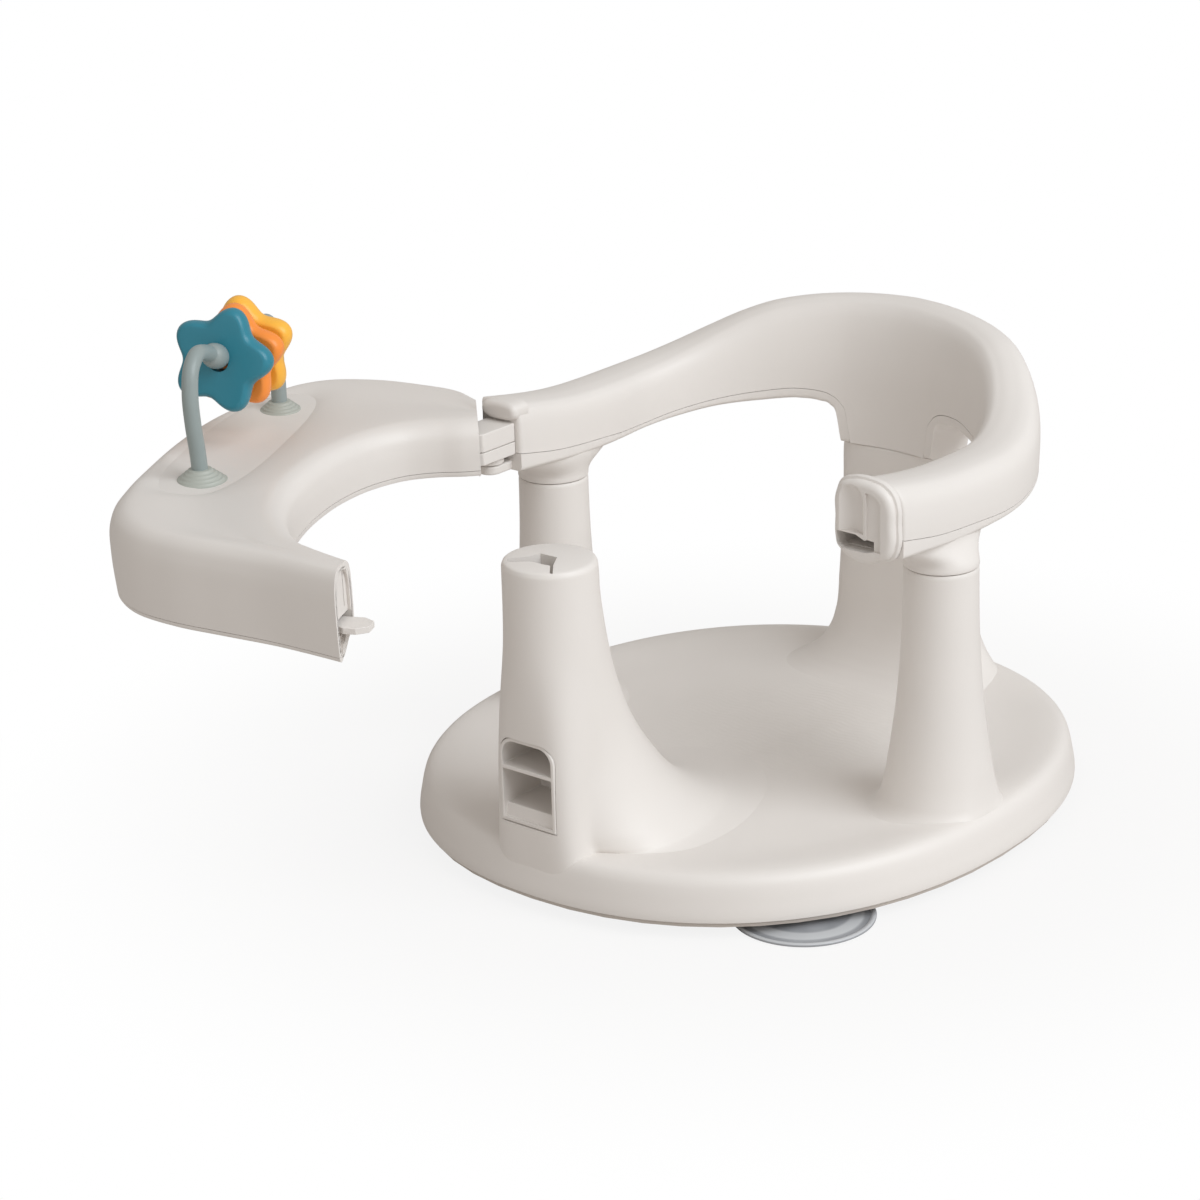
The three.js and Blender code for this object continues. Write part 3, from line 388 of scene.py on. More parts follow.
for side, place in ((1, "left"), (-1, "right")):
    belongs(side_post(side, place), "seat", "beige_plastic")
belongs(rear_post(), "seat", "beige_plastic")
print("posts stand", SIDE_POST_PROFILE[-1][1], "and", REAR_POST_RINGS[-1][3], "mm high")

# %% [markdown]
# ## The front post
#
# The child sits astride this post. Below it sweeps back into the seat in a long flare, and in front it
# is nearly square, flush with the edge of the base, and holds a small two-part pocket. The level lines
# of the flare are ovals, and the lower they are the further back lies their widest point. Both shapes
# are distances from one middle line, as a function of angle and height. Adding
# their high powers and taking the root picks the larger one and rounds the valley between them.

# %% Front post
FRONT_POST = {"y": -152.9, "top": 174.2}
FLARE = [  # half width, reach to the back, setback of the widest point, reach to the front, height
    [64, 148, 40, 0, 26.6], [60, 137, 38, 2, 27.4], [56, 125, 36, 5, 28.3], [51.5, 113.5, 34, 8, 29.7],
    [48, 103.8, 32, 11, 32],
    [45, 95, 30, 13, 35], [41.5, 86.9, 27, 15, 39], [37.8, 79.7, 24, 16.5, 44], [33.6, 71.6, 20, 18, 51.5],
    [29.5, 63, 16, 19.5, 62], [26.6, 55.4, 12, 20.5, 72.5], [24.8, 48.2, 8, 21.5, 84],
    [23.6, 40.1, 4, 22.4, 101], [22.9, 32.4, 2, 22.9, 122], [22.9, 27.5, 0, 22.9, 141],
    [22.9, 23.9, 0, 22.9, 158], [22.9, 22.9, 0, 22.9, 170.2],
    [22.4, 22.4, 0, 22.4, 172.6], [21.4, 21.4, 0, 21.4, 173.8], [20.2, 20.2, 0, 20.2, 174.2],
]
NOSE = [  # half width, reach to the front, height, exponent
    [27.5, 20.6, 12, 3.9], [27.5, 21.2, 20, 3.9], [26, 22.2, 34, 3.9], [24.6, 22.9, 60, 3.9],
    [23.9, 22.9, 90, 3.3], [22.6, 22.6, 120, 2.5], [20.5, 20.5, 144, 2.1], [17, 17, 168, 2],
    [16.5, 16.5, 175, 2],
]
JOIN_POWER = 22  # higher is a tighter valley between flare and nose


def front_post():
    """Distance from the middle line by angle and height. Where the flare's oval and the squarer front
    meet, it is the root of their summed high powers, so the larger one shows."""
    flare, nose = np.array(FLARE), np.array(NOSE)
    z = np.concatenate([
        np.linspace(12, 26.7, 12), np.linspace(26.8, 62, 80), np.linspace(63, 170, 90),
        np.linspace(170.5, FRONT_POST["top"], 9),
    ])
    half, back, setback, front = spline(flare[:, 4], flare[:, :4], z).T[:, :, None]
    core_half, core_front, core_power = spline(nose[:, 2], nose[:, [0, 1, 3]], z).T[:, :, None]
    angles = round_angles(240)

    def inside(reach):
        behind = reach * np.sin(angles) - setback
        length = np.where(behind < 0, front + setback, back - setback)
        return (reach * np.cos(angles) / half) ** 2 + (behind / length) ** 2 <= 1

    none = np.zeros((len(z), len(angles)))
    sweep = within_base(0, FRONT_POST["y"], halved(none, none + 300, inside), angles, z)
    core = oval_radius(angles, core_half, np.where(np.sin(angles) < 0, core_front, 18), core_power)
    radius = (sweep ** JOIN_POWER + core ** JOIN_POWER) ** (1 / JOIN_POWER)
    radius = np.where(z[:, None] > 150, np.minimum(radius, sweep), radius)
    radius = np.where(z[:, None] < FLARE[0][4], core, radius)
    return skin("front_post", polar_rings((0, FRONT_POST["y"]), radius, angles, z))


POCKET = {"half": 17.3, "bottom": 43.7, "top": 88.3, "corner": 9.3, "back": -146, "face": -175}


def pocket_block(name, grow, bottom, top, corner, ys, insets=(0, 0)):
    """A block with this front view: square below, two round corners above."""
    quarter = np.linspace(0, math.pi / 2, 12)
    rings = []
    for y, inset in zip(ys, insets):
        half = POCKET["half"] + grow - inset
        round_x = half - corner + corner * np.cos(quarter)
        round_z = top - inset - corner + corner * np.sin(quarter)
        right = np.column_stack([round_x, round_z])
        below = [[-half, bottom + inset], [half, bottom + inset]]
        front = np.concatenate([below, right, right[::-1] * [-1, 1]])
        rings.append(np.column_stack([front[:, 0], np.full(len(front), y), front[:, 1]]))
    return skin(name, rings)


def pocket_cutter():
    """The room that the insert fills."""
    bottom, top, corner, back = (POCKET[k] for k in ("bottom", "top", "corner", "back"))
    return pocket_block("pocket_cutter", 0, bottom, top, corner, (-200, back))


def pocket_insert():
    """The insert: a rim that stands a little proud, two compartments, and a lip that leans in."""
    bottom, top, back, face = (POCKET[k] for k in ("bottom", "top", "back", "face"))
    ys = (back - 0.1, face + 0.9, face + 0.3, face)
    insets = (0, 0, 0.25, 0.8)
    made = pocket_block("pocket_insert_fine", -0.3, bottom + 0.3, top - 0.3, 9, ys, insets)
    upper = pocket_block("upper_cutter", -2.2, 73.2, top - 2.2, 7.2, (-200, back - 1.5))
    lower = pocket_block("lower_cutter", -2.2, 52.5, 71.2, 0.5, (-200, back - 1.5))
    lip = [[face - 5, 46.3], [face + 1.4, 46.3], [face + 3.4, 54], [face - 5, 54]]
    half = POCKET["half"] - 2.2
    return carved(made, [upper, lower, extruded("lip_cutter", lip, (-half, half), axis=0)])


# %% [markdown]
# ## The key slot in the front post
#
# The tray has a key under it that drops into this slot when the tray is shut. On the real post it is a
# narrow slit that widens and ends in a short tail. Its outline is a list of corners in plan, cut
# straight down into the top of the post.

# %% Key slot
KEY_SLOT = [
    [-16, -165.3], [-9.1, -157.2], [-7.3, -150.6], [2.6, -150.4], [8.1, -159.6], [15, -168.3],
    [13.7, -168.9], [7.4, -161.2], [3, -161.7], [-2.2, -161.7], [-4.5, -162.1], [-12, -169.4],
]


def key_slot_cutter():
    """The slot as a solid, from above the post down to its floor."""
    return extruded("key_slot_cutter", KEY_SLOT, (FRONT_POST["top"] - 40, FRONT_POST["top"] + 5))


post = carved(front_post(), [pocket_cutter(), key_slot_cutter()])
belongs(post, "seat", "beige_plastic")
belongs(rounded_edges(pocket_insert(), 0.35, 2, 40), "seat", "pocket_plastic", "pocket_insert")
print("front post", len(post.data.polygons), "faces")

# %% [markdown]
# ## The ring round the child
#
# The ring is one closed section carried along a plan: straight arms, then half an ellipse round the
# back. A station counts from 0 at the end of an arm to 1 behind the child. The heights of its top, of
# the seam below it and of its lower edge are curves of the station. Near the rear post the seam drops
# in an arch until it meets the top of the post.

# %% Plan and heights of the ring
RING = {"half_width": 117.5, "back": 108, "straight_end": 30, "arm_end": -56}
ARM_HALF = 17
BACK_HALF = 12.5
STRAIGHT = (RING["straight_end"] - RING["arm_end"]) / 240  # share of the stations on the straight arm
PANEL_BOTTOM = 154.6
SEAM = 0.3


def arm(y):
    """The station on the straight arm that lies at this y."""
    return (y - RING["arm_end"]) / (RING["straight_end"] - RING["arm_end"]) * STRAIGHT


def turn(degrees):
    """The station in the bend, this many degrees round from its start."""
    return STRAIGHT + (1 - STRAIGHT) * degrees / 90


TOP = [
    [arm(-56), 208.4], [arm(-36), 204.8], [arm(-6), 200.7], [arm(30), 199.5], [turn(10), 200.4],
    [turn(18), 202.5], [turn(28), 207.5], [turn(37), 214], [turn(46), 221], [turn(53), 225.5],
    [turn(62), 229], [turn(72), 231.3], [turn(81), 232.5], [turn(90), 233],
]
SPLIT = [
    [arm(-56), 181.6], [arm(-26), 176.2], [arm(7), 173.5], [arm(30), 172.4], [turn(6), 172.6],
    [turn(23), 175.8], [turn(37), 179], [turn(50), 181.6], [turn(62), 183.3], [turn(90), 183.3],
]
LOW = [
    [arm(-56), 172], [arm(-38), 170.5], [arm(-12), 168.5], [arm(12), 168], [arm(30), 168.6],
    [turn(6), 169.4], [turn(23), 171.9], [turn(37), 174.5], [turn(50), 176], [turn(62), 177.4],
    [turn(90), 177.4],
]
SPLIT_DROP = [[0.79, 0], [0.84, 0.035], [0.864, 0.09], [0.886, 0.24], [0.898, 0.43], [0.905, 0.8], [0.909, 1]]
LOW_DROP = [[0.79, 0], [0.84, 0.05], [0.864, 0.14], [0.878, 0.4], [0.8865, 1]]


def ring_plan(side, station):
    """Middle line of the ring, its outward direction and its turn in degrees."""
    bend = np.clip((station - STRAIGHT) / (1 - STRAIGHT), 0, 1) * math.pi / 2
    ahead = RING["arm_end"] + (RING["straight_end"] - RING["arm_end"]) * station / STRAIGHT
    x = RING["half_width"] * np.cos(bend)
    y = np.where(station < STRAIGHT, ahead, RING["straight_end"] + RING["back"] * np.sin(bend))
    out = np.column_stack([np.cos(bend) / RING["half_width"], np.sin(bend) / RING["back"]])
    out /= np.linalg.norm(out, axis=1)[:, None]
    return np.column_stack([side * x, y]), out * [side, 1], np.degrees(bend)


def ring_half(degrees):
    """Half the ring's width: it narrows evenly over the first 75 degrees of the bend."""
    return ARM_HALF + (BACK_HALF - ARM_HALF) * np.minimum(1, degrees / 75)


def ring_heights(station):
    """Top, seam, lower edge of the upper shell and lowest edge, one row per station."""
    seam = table(SPLIT, station)
    low = table(LOW, station)
    bottom = seam + (PANEL_BOTTOM - seam) * table(SPLIT_DROP, station)
    edge = low + (PANEL_BOTTOM - low) * table(LOW_DROP, station)
    return table(TOP, station), seam, bottom, edge


print("ring is", table(TOP, [0, 1]).round(1), "mm high at the arm and behind the child")

# %% [markdown]
# ## Upper shell of the ring
#
# The section is a soft arch from the inner edge over the top to the outer edge. Its inner side is
# nearly flat and meets the top in a tighter bend, which shows in the photo as a soft crease. Towards
# the back the whole section leans outwards, in proportion to the square of the height above the seam.

# %% Upper shell
SECTION = [  # across in half widths, up as a share of the rise above the seam
    [-1, 0], [-1, 0.25], [-0.99, 0.48], [-0.955, 0.69], [-0.89, 0.82], [-0.74, 0.915], [-0.44, 0.975],
    [-0.02, 1], [0.36, 0.985], [0.7, 0.9], [0.91, 0.72], [0.99, 0.45], [1, 0.2], [0.985, 0],
]
LEAN = [[0, 0], [30, 2], [60, 6], [90, 8]]
END_ROUNDING = 2.4
RING_STATIONS = np.concatenate([
    np.array([0, 0.1, 0.3, 0.6, 1, 1.5, 2, 2.4]) / 240, np.linspace(0.012, 0.78, 165),
    np.linspace(0.783, 0.909, 90), np.linspace(0.911, 1, 26),
])


def ring_side(side):
    """One half of the ring. Across it, a point lies at its share of the half width, plus a lean that
    grows with the square of its rise. Its height is the seam plus its share of the rise to the top."""
    at, out, degrees = ring_plan(side, RING_STATIONS)
    top, seam, bottom, _ = ring_heights(RING_STATIONS)
    line = path(SECTION, shares(64), steady=True)
    across, up = line.T
    lean = table(LEAN, degrees)
    near_end = np.clip(END_ROUNDING - RING_STATIONS * 240, 0, END_ROUNDING)
    inset = END_ROUNDING - np.sqrt(END_ROUNDING ** 2 - near_end ** 2)
    s = across * (ring_half(degrees) - inset)[:, None] + lean[:, None] * up ** 2
    z = seam[:, None] + (top - inset - seam)[:, None] * up
    z[:, 0] = bottom
    z[:, -1] = bottom
    xy = at[:, None] + out[:, None] * s[:, :, None]
    return np.concatenate([xy, z[:, :, None]], -1)


def ring_upper():
    """Both halves in one skin, from the end of the left arm round the back to the end of the right one."""
    left = ring_side(1)
    right = ring_side(-1)[::-1][1:]
    return skin("ring_upper", np.concatenate([left, right]))


def corner_cutter():
    """Plan of the outer corner of the right arm, which the tray swings past."""
    bend = path([[-124.5, -80], [-124.5, -60], [-128, -50], [-132, -40], [-136, -28]], shares(30))
    outline = np.concatenate([[[-150, -80]], bend, [[-150, -20]]])
    return extruded("corner_cutter", outline, (150, 230))


def latch_cavity():
    """The dark room behind the slot of the latch."""
    corners = [[101, -90], [121.5, -90], [121.5, -24], [101, -24]]
    return extruded("latch_cavity", corners, (174.6, 182.4))


upper = carved(ring_upper(), [corner_cutter(), latch_cavity()])
belongs(upper, "seat", "beige_plastic", "ring_upper_shell")
print("ring upper shell", len(upper.data.polygons), "faces")

# %% [markdown]
# ## Lower shells of the arms
#
# Below the seam each arm has a second moulding, a shallow band with rounded lower edges. It ends where
# the arch comes down. A short collar under it slips over the side post, with a fine groove between the
# two that shows as a dark line.

# %% Lower shells and collars
BAND_END = 0.907
NEAR_SAG = 9  # how far the outer edge hangs lower beside the rear post, on the side of the latch
BAND_STATIONS = np.concatenate([np.linspace(0, 0.78, 120), np.linspace(0.785, BAND_END, 50)])


def band(side):
    """A flat top just under the seam and two rounded lower edges, on stations like the ring's. On the
    side of the latch the outer edge sags along a bell curve beside the rear post."""
    at, out, degrees = ring_plan(side, BAND_STATIONS)
    _, _, bottom, low = ring_heights(BAND_STATIONS)
    top = bottom - SEAM
    edge = np.minimum(2.4, (top - low) * 0.6)
    half = ring_half(degrees)
    sag = NEAR_SAG * np.exp(-((BAND_STATIONS - 0.82) / 0.07) ** 2) if side > 0 else np.zeros_like(half)
    quarter = np.linspace(0, math.pi / 2, 7)
    inner_x = -half[:, None] + edge[:, None] * (1 - np.cos(quarter))
    inner_z = low[:, None] + edge[:, None] * (1 - np.sin(quarter))
    s = np.concatenate([-half[:, None], inner_x, -inner_x[:, ::-1] * 0.985, half[:, None] * 0.985], 1)
    z = np.concatenate([top[:, None], inner_z, inner_z[:, ::-1] - sag[:, None], top[:, None]], 1)
    xy = at[:, None] + out[:, None] * s[:, :, None]
    return skin("band", np.concatenate([xy, z[:, :, None]], -1))


def collar(side, place):
    """Round below, where it takes the post, and an oval as wide as the arm above. Both its middle and
    its two half widths change with a smooth step of the height."""
    z = np.concatenate([[153.6, 153.75, 154.1, 154.6], np.linspace(155.5, 171, 40)])
    step = np.clip((z - 155) / 14, 0, 1)
    step = step * step * (3 - 2 * step)
    low = np.array([1.0, 0.5, 0.12, 0] + [0] * 40)
    across = 18.5 - low + (ARM_HALF - 0.6 - 18.5) * step
    along = 18.5 - low + 16 * step ** 1.5
    middle = SIDE_POST_AT[0] + (RING["half_width"] - SIDE_POST_AT[0]) * step
    angles = round_angles(120)
    radius = oval_radius(angles, across[:, None], along[:, None], 2)
    return skin(f"collar_{place}", polar_rings((side * middle, SIDE_POST_AT[1]), radius, angles, z))


for side, place in ((1, "left"), (-1, "right")):
    lower = band(side)
    lower.name = f"arm_lower_{place}"
    carved(lower, [corner_cutter() if side < 0 else latch_cavity()])
    belongs(lower, "seat", "beige_plastic", f"arm_lower_shell_{place}")
    belongs(collar(side, place), "seat", "beige_plastic")

# %% [markdown]
# ## Hinge side of the right arm
#
# The end of the right arm carries a two-layer link, and the tray turns on a steel pin through it. A
# small hood shades the top of the link and a rounded lug holds it from below. The link's facets are
# right as they are, so they only get rounded edges.

# %% Hood, lug and link
HOOD = {"x": (-124.4, -101.5), "y": (-59.4, -48), "z": (198.2, 207.9)}


def hood():
    """A rounded block: an oval of high power in front view, drawn in a little towards its free end."""
    (x0, x1), (y0, y1), (z0, z1) = HOOD["x"], HOOD["y"], HOOD["z"]
    angles = round_angles(96)
    quarter = np.linspace(0, math.pi / 2, 10)
    y = np.concatenate([[y1], y0 + 3 * (1 - np.sin(quarter))])
    inset = np.concatenate([[0], 3 * (1 - np.cos(quarter))])
    radius = np.stack([oval_radius(angles, (x1 - x0) / 2 - i, (z1 - z0) / 2 - i, 3) for i in inset])
    rings = np.stack([
        (x0 + x1) / 2 + radius * np.cos(angles),
        np.broadcast_to(y[:, None], radius.shape),
        (z0 + z1) / 2 + radius * np.sin(angles),
    ], -1)
    return skin("hood", rings)


def lug():
    """Half a circle about the hinge, run straight back to the arm."""
    hinge_x, hinge_y = -113, -66
    arc = np.linspace(math.pi, 2 * math.pi, 24)
    nose = np.column_stack([hinge_x + 6 * np.cos(arc), hinge_y + 6 * np.sin(arc)])
    outline = np.concatenate([nose, [[-107, -52], [-119, -52]]])
    return rounded_edges(extruded("lug", outline, (172.2, 176.8)), 0.9)


belongs(hood(), "seat", "beige_plastic")
belongs(lug(), "seat", "beige_plastic")
for node in ("hinge_link_upper", "hinge_link_lower"):
    softened(node, "seat", "beige_plastic", 0.9)

# %% [markdown]
# ## The latch boss
#
# The end of the left arm carries a rounded boss. Its face has one wide hollow and a shallower flat
# beside it, where the end of the tray slides in, and a dark slot below takes the tongue. A fine
# groove parts it from the flange behind. The outline is a smooth closed curve, drawn in by a rounding
# towards the face, and each hollow is cut by its own body.

# %% Latch boss
BOSS = {"x": (98, 133.5), "z": (170, 210), "front": -63.4, "back": -56.3}
BOSS_OUTLINE = [  # from the middle, in half sizes
    [-0.62, -1], [-0.1, -1.0], [0.45, -1], [0.85, -0.86], [1, -0.52], [1, 0], [0.99, 0.38], [0.86, 0.7],
    [0.56, 0.91], [0.1, 1], [-0.45, 0.98], [-0.84, 0.84], [-1, 0.52], [-1, 0], [-1, -0.55], [-0.9, -0.87],
]


BOSS_ROWS = [[0, 0], [2.4, 0], [2.8, 0.25], [3, 0.9], [3.25, 1.3], [3.5, 1.2]]  # from the back, drawn in
BOSS_ROUNDING = 3.2


def boss_body():
    """The outline as a reach by angle, times the boss's half sizes less an inset, for rows from the
    back to the rounded face."""
    (x0, x1), (z0, z1) = BOSS["x"], BOSS["z"]
    outline = np.array(BOSS_OUTLINE + BOSS_OUTLINE[:1])
    closed = path(np.concatenate([outline[-3:-1], outline, outline[1:3]]), shares(301))
    once = closed[60:250]  # what is left of a turn, at the lower corner, is bridged evenly
    turn = np.unwrap(np.arctan2(once[:, 1], once[:, 0]))
    angles = round_angles(140) - math.pi
    reach = np.interp(angles, turn, np.hypot(*once.T), period=2 * math.pi)
    bend = np.linspace(0, math.pi / 2, 9)
    rows = [[BOSS["back"] - ahead, inset] for ahead, inset in BOSS_ROWS]
    rows += np.column_stack([
        BOSS["front"] + BOSS_ROUNDING * (1 - np.sin(bend)), 1.1 + BOSS_ROUNDING * (1 - np.cos(bend)),
    ]).tolist()
    rings = []
    for y, inset in rows:
        x = (x0 + x1) / 2 + reach * np.cos(angles) * ((x1 - x0) / 2 - inset)
        z = (z0 + z1) / 2 + reach * np.sin(angles) * ((z1 - z0) / 2 - inset)
        rings.append(np.column_stack([x, np.full(len(x), y), z]))
    return skin("latch_boss", rings, 40)


def hollow_cutter():
    """A round pin, domed at its top, that leaves the wide hollow."""
    profile = [[9, 183.2], [9, 198], [8.7, 201.5], [7.9, 204.2], [6.6, 206.2], [5, 207.4]]
    return turned("hollow_cutter", 109.6, BOSS["front"] - 5.8, profile, 50, 120)


def flat_cutter():
    """The shallow flat beside the hollow, with one round upper corner."""
    bend = np.linspace(1.45, 0, 12)
    corner = np.column_stack([117.6 + 8.6 * np.sin(bend), 198 + 6 * np.cos(bend)])
    outline = np.concatenate([[[117.6, 175.5], [126, 175.5]], corner])
    return extruded("flat_cutter", outline, (-75, BOSS["front"] + 1.5), axis=1)


LATCH_SLOT = [
    [101.2, 176], [104, 174.4], [117.6, 174.4], [121.6, 175.4], [121.6, 180.2], [117, 180.6],
    [112, 182.6], [101.2, 182.8],
]


def slot_cutter():
    """The slot that takes the tongue."""
    return extruded("slot_cutter", LATCH_SLOT, (-75, -50), axis=1)


boss = carved(boss_body(), [hollow_cutter(), flat_cutter(), slot_cutter()])
belongs(rounded_edges(boss, 0.5, 3, 35), "seat", "beige_plastic", "latch_receptacle")
print("latch boss", len(boss.data.polygons), "faces")

# %% [markdown]
# ## The tray's own frame
#
# The tray is drawn shut and level, where its shape is simplest, and then leaned and swung open about
# its hinge, as in the photo. One matrix does both. Every point of the tray and of its toy bar goes
# through it.

# %% Tray pose
HINGE = np.array([-113, -66, 190.0])
OPEN_ANGLE = math.radians(-66)
HINGE_LEAN = math.atan(0.025)
TURN_OPEN = np.array((Matrix.Rotation(HINGE_LEAN, 3, "X") @ Matrix.Rotation(OPEN_ANGLE, 3, "Z")))


def opened(points):
    """Points of the shut tray, leaned and swung about the hinge."""
    return (np.asarray(points, float) - HINGE) @ TURN_OPEN.T + HINGE


print("the latch end swings to", opened([110, -60, 176.7]).round(1))

# %% [markdown]
# ## Upper shell of the tray
#
# Seen from above the tray is a thick crescent between two curves. At each share of their length a
# straight line joins them, and a profile stands on that line: up the inner wall, over a broad soft
# shoulder, across a shallow valley and down the tall outer wall. The wall is a true shell, so its open
# latch end shows its thickness. The trough of the toy bar is pressed into the top by taking, softly,
# the lower of two heights.

# %% Tray curves
TRAY_OUTER = [
    [-137, -80], [-150, -94], [-158, -118], [-162, -146], [-157, -172], [-140, -190], [-95, -207],
    [-53, -212], [-13, -212], [20, -210], [44, -206], [64, -197], [80, -182], [91, -160],
    [99, -133], [107, -105], [115, -83], [122, -65],
]
TRAY_INNER = [
    [-91, -64], [-88, -72], [-85.5, -83], [-78.5, -98], [-64, -110.5], [-40, -120], [-20, -123],
    [2, -123.5], [24, -121], [46, -114], [63, -105], [76, -95], [86, -83.5], [93, -74], [99, -65],
]
TRAY_TOP = 206
TRAY_WALL = 2.6
BAND_HEIGHT = 3
LOW_OUTER = 162
TRAY_SHARES = shares(300)
TRAY_IN = path(TRAY_INNER, TRAY_SHARES)
TRAY_OUT = path(TRAY_OUTER, TRAY_SHARES)
TRAY_WIDTH = np.linalg.norm(TRAY_OUT - TRAY_IN, axis=1)
TRAY_ACROSS = (TRAY_OUT - TRAY_IN) / TRAY_WIDTH[:, None]
LOW_INNER = table([[0, 177.6], [0.8, 177.6], [0.86, 175], [0.91, 171], [1, 171]], TRAY_SHARES)


def on_tray(s, z):
    """Points at distance s from the inner curve and height z, both shares by columns."""
    xy = TRAY_IN[:, None] + TRAY_ACROSS[:, None] * s[:, :, None]
    return np.concatenate([xy, z[:, :, None]], -1)


print("tray is", TRAY_WIDTH.min().round(1), "to", TRAY_WIDTH.max().round(1), "mm wide")

# %% Toy trough
TOY_FRONT = np.array([1.5, -175.9])
TOY_REAR = np.array([-107.5, -175.9])
TROUGH = [[12, 200.5], [15.8, 200.8], [19.5, 201.8], [24, 203.5], [30, 205.4], [38, 207.6], [48, 210.5]]
NO_TROUGH = 1e3  # a height far above the tray


def trough_height(x, y):
    """Height of the trough: its level lines are ovals that grow alike on all sides, so the size of the
    oval through each point is found by halving an interval, and the height follows from the size."""
    middle = (TOY_FRONT + TOY_REAR) / 2
    half = (TOY_FRONT[0] - TOY_REAR[0]) / 2
    dx, dy = np.abs(x - middle[0]), np.abs(y - middle[1])

    def too_small(size):
        return (dx / (half + 9 + 0.62 * size)) ** 3 + (dy / size) ** 3 > 1

    size = halved(np.full(x.shape, 1.0), np.full(x.shape, 120.0), too_small, 24)
    return np.where(size < TROUGH[-1][0], table(TROUGH, size.ravel()).reshape(x.shape), NO_TROUGH)


# %% Upper shell of the tray


def rows_across(rows):
    """(distance, height) pairs, each a number or one value per share, as rows by shares by two."""
    every = TRAY_WIDTH.shape
    return np.array([np.stack([np.broadcast_to(v, every) for v in row], -1) for row in rows])


def tray_profile(inset):
    """Control points of the wall, as (distance from the inner curve, height), for every share."""
    w, low, top = TRAY_WIDTH, LOW_INNER, TRAY_TOP
    k = np.minimum(1, w / 42)
    dip = 1.5 * np.clip((w - 24) / 30, 0, 1)
    controls = rows_across([
        (0, low + BAND_HEIGHT), (0, 186), (0.3, 193.5), (1.6 * k, 199.6), (4.6 * k, 203.3),
        (9 * k, 205.2), (15 * k, top - 0.3), (w * 0.5, top - dip), (w - 14 * k, top - 0.2),
        (w - 8 * k, top - 1.2), (w - 3.6 * k, top - 4.2), (w - 0.9 * k, top - 9.6), (w, top - 17),
        (w - 0.2, 178), (w - 1.2, LOW_OUTER + BAND_HEIGHT - SEAM),
    ])
    knots = lengths(controls[:, 150])
    line = spline(knots, controls, np.linspace(0, knots[-1], 170), steady=True)
    s, z = line[:, :, 0].T, line[:, :, 1].T
    if inset:
        ds, dz = np.gradient(s, axis=1), np.gradient(z, axis=1)
        size = np.hypot(ds, dz)
        s, z = s + dz / size * inset, z - ds / size * inset
    return s, z


def tray_wall(inset):
    """One face of the wall. The outer one is lowered into the trough, and the inner one lies an inset
    behind the profile, along its normals."""
    s, z = tray_profile(inset)
    points = on_tray(s, z)
    if not inset:
        points[..., 2] = softly_lower(points[..., 2], trough_height(points[..., 0], points[..., 1]), 4.0)
    return opened(points)


tray_upper = walled("tray_upper", tray_wall(0), tray_wall(TRAY_WALL))
belongs(tray_upper, "tray", "beige_plastic", "tray_upper_shell")
print("tray upper shell", len(tray_upper.data.polygons), "faces")

# %% [markdown]
# ## Lower shell of the tray
#
# The lower moulding closes the tray from below: a deck between the walls and a rolled skirt under the
# outer wall. Only a narrow band of it shows in the photo, under a fine seam.

# %% Lower shell of the tray


def tray_lower():
    """A closed section on each line across the tray: a deck, a floor that drops towards the outer wall,
    and a rolled skirt."""
    w, low, foot = TRAY_WIDTH, LOW_INNER, LOW_OUTER
    deck = low + BAND_HEIGHT - SEAM
    step = np.minimum(low, foot + 15.6)
    s, z = rows_across([
        (0, deck), (0, low + 1.1), (0.3, low + 0.3), (1.1, low), (w - 14, step),
        (w - 11.5, step - 2.4), (w - 8, foot + 4.4), (w - 6, foot + 1.2), (w - 4.6, foot + 0.2),
        (w - 3.2, foot), (w - 1.9, foot + 0.6), (w - 1.4, foot + 1.4), (w - 1.4, foot + 2.4),
        (w - 4.7, foot + 2.4), (w - 6.4, foot + 6.6), (w - 9.6, deck - 3.6), (w - 12.5, deck),
    ]).transpose(2, 1, 0)
    return skin("tray_lower", opened(on_tray(s, z)), 40)


belongs(tray_lower(), "tray", "beige_plastic", "tray_lower_shell")


def hinge_eye():
    """Strip of the lower shell that turns on the pin, between the lug and the link."""
    arc = np.linspace(0, math.pi, 24)
    eye = np.column_stack([HINGE[0] + 7 * np.cos(arc), HINGE[1] + 7 * np.sin(arc)])
    outline = np.concatenate([eye, [[HINGE[0] - 7, -96], [HINGE[0] + 7, -96]]])
    return rounded_edges(extruded("hinge_eye", outline, (177.4, 180.4), placed=opened), 0.6)


def post_key():
    """Key that drops into the slot of the front post: a piece of an arc about the hinge."""
    across, along = -HINGE[0], FRONT_POST["y"] - HINGE[1]
    reach, middle = math.hypot(across, along), math.atan2(along, across)
    arc = np.linspace(middle - 0.08, middle + 0.01, 12)
    rim = np.column_stack([np.cos(arc), np.sin(arc)])
    outline = HINGE[:2] + np.concatenate([(reach - 1.3) * rim, (reach + 1.3) * rim[::-1]])
    return rounded_edges(extruded("post_key", outline, (168, 179), placed=opened), 0.4)


END_OUTLINE = [  # distance from the inner wall, height
    [21.4, 166], [22.2, 172], [22.6, 180], [22.6, 188], [21.8, 196], [19.3, 201.6], [15, 204.6],
    [10.5, 205.2], [6, 204], [2.8, 201], [0.9, 196], [0.4, 188], [0.4, 180], [1, 175], [3.6, 171.4],
    [8, 168.6], [12.5, 164.8], [15.5, 162.8], [18.8, 162.8],
]
END_ROWS = [  # inset, depth
    [0.9, 4.5], [0.5, 0.5], [0.5, 0.15], [1, 0], [2.2, 0], [2.7, 0.3], [2.9, 0.8], [3, 1.8],
]
END_SKEW = 0.5  # the walls lean this much sideways for each step into the tray


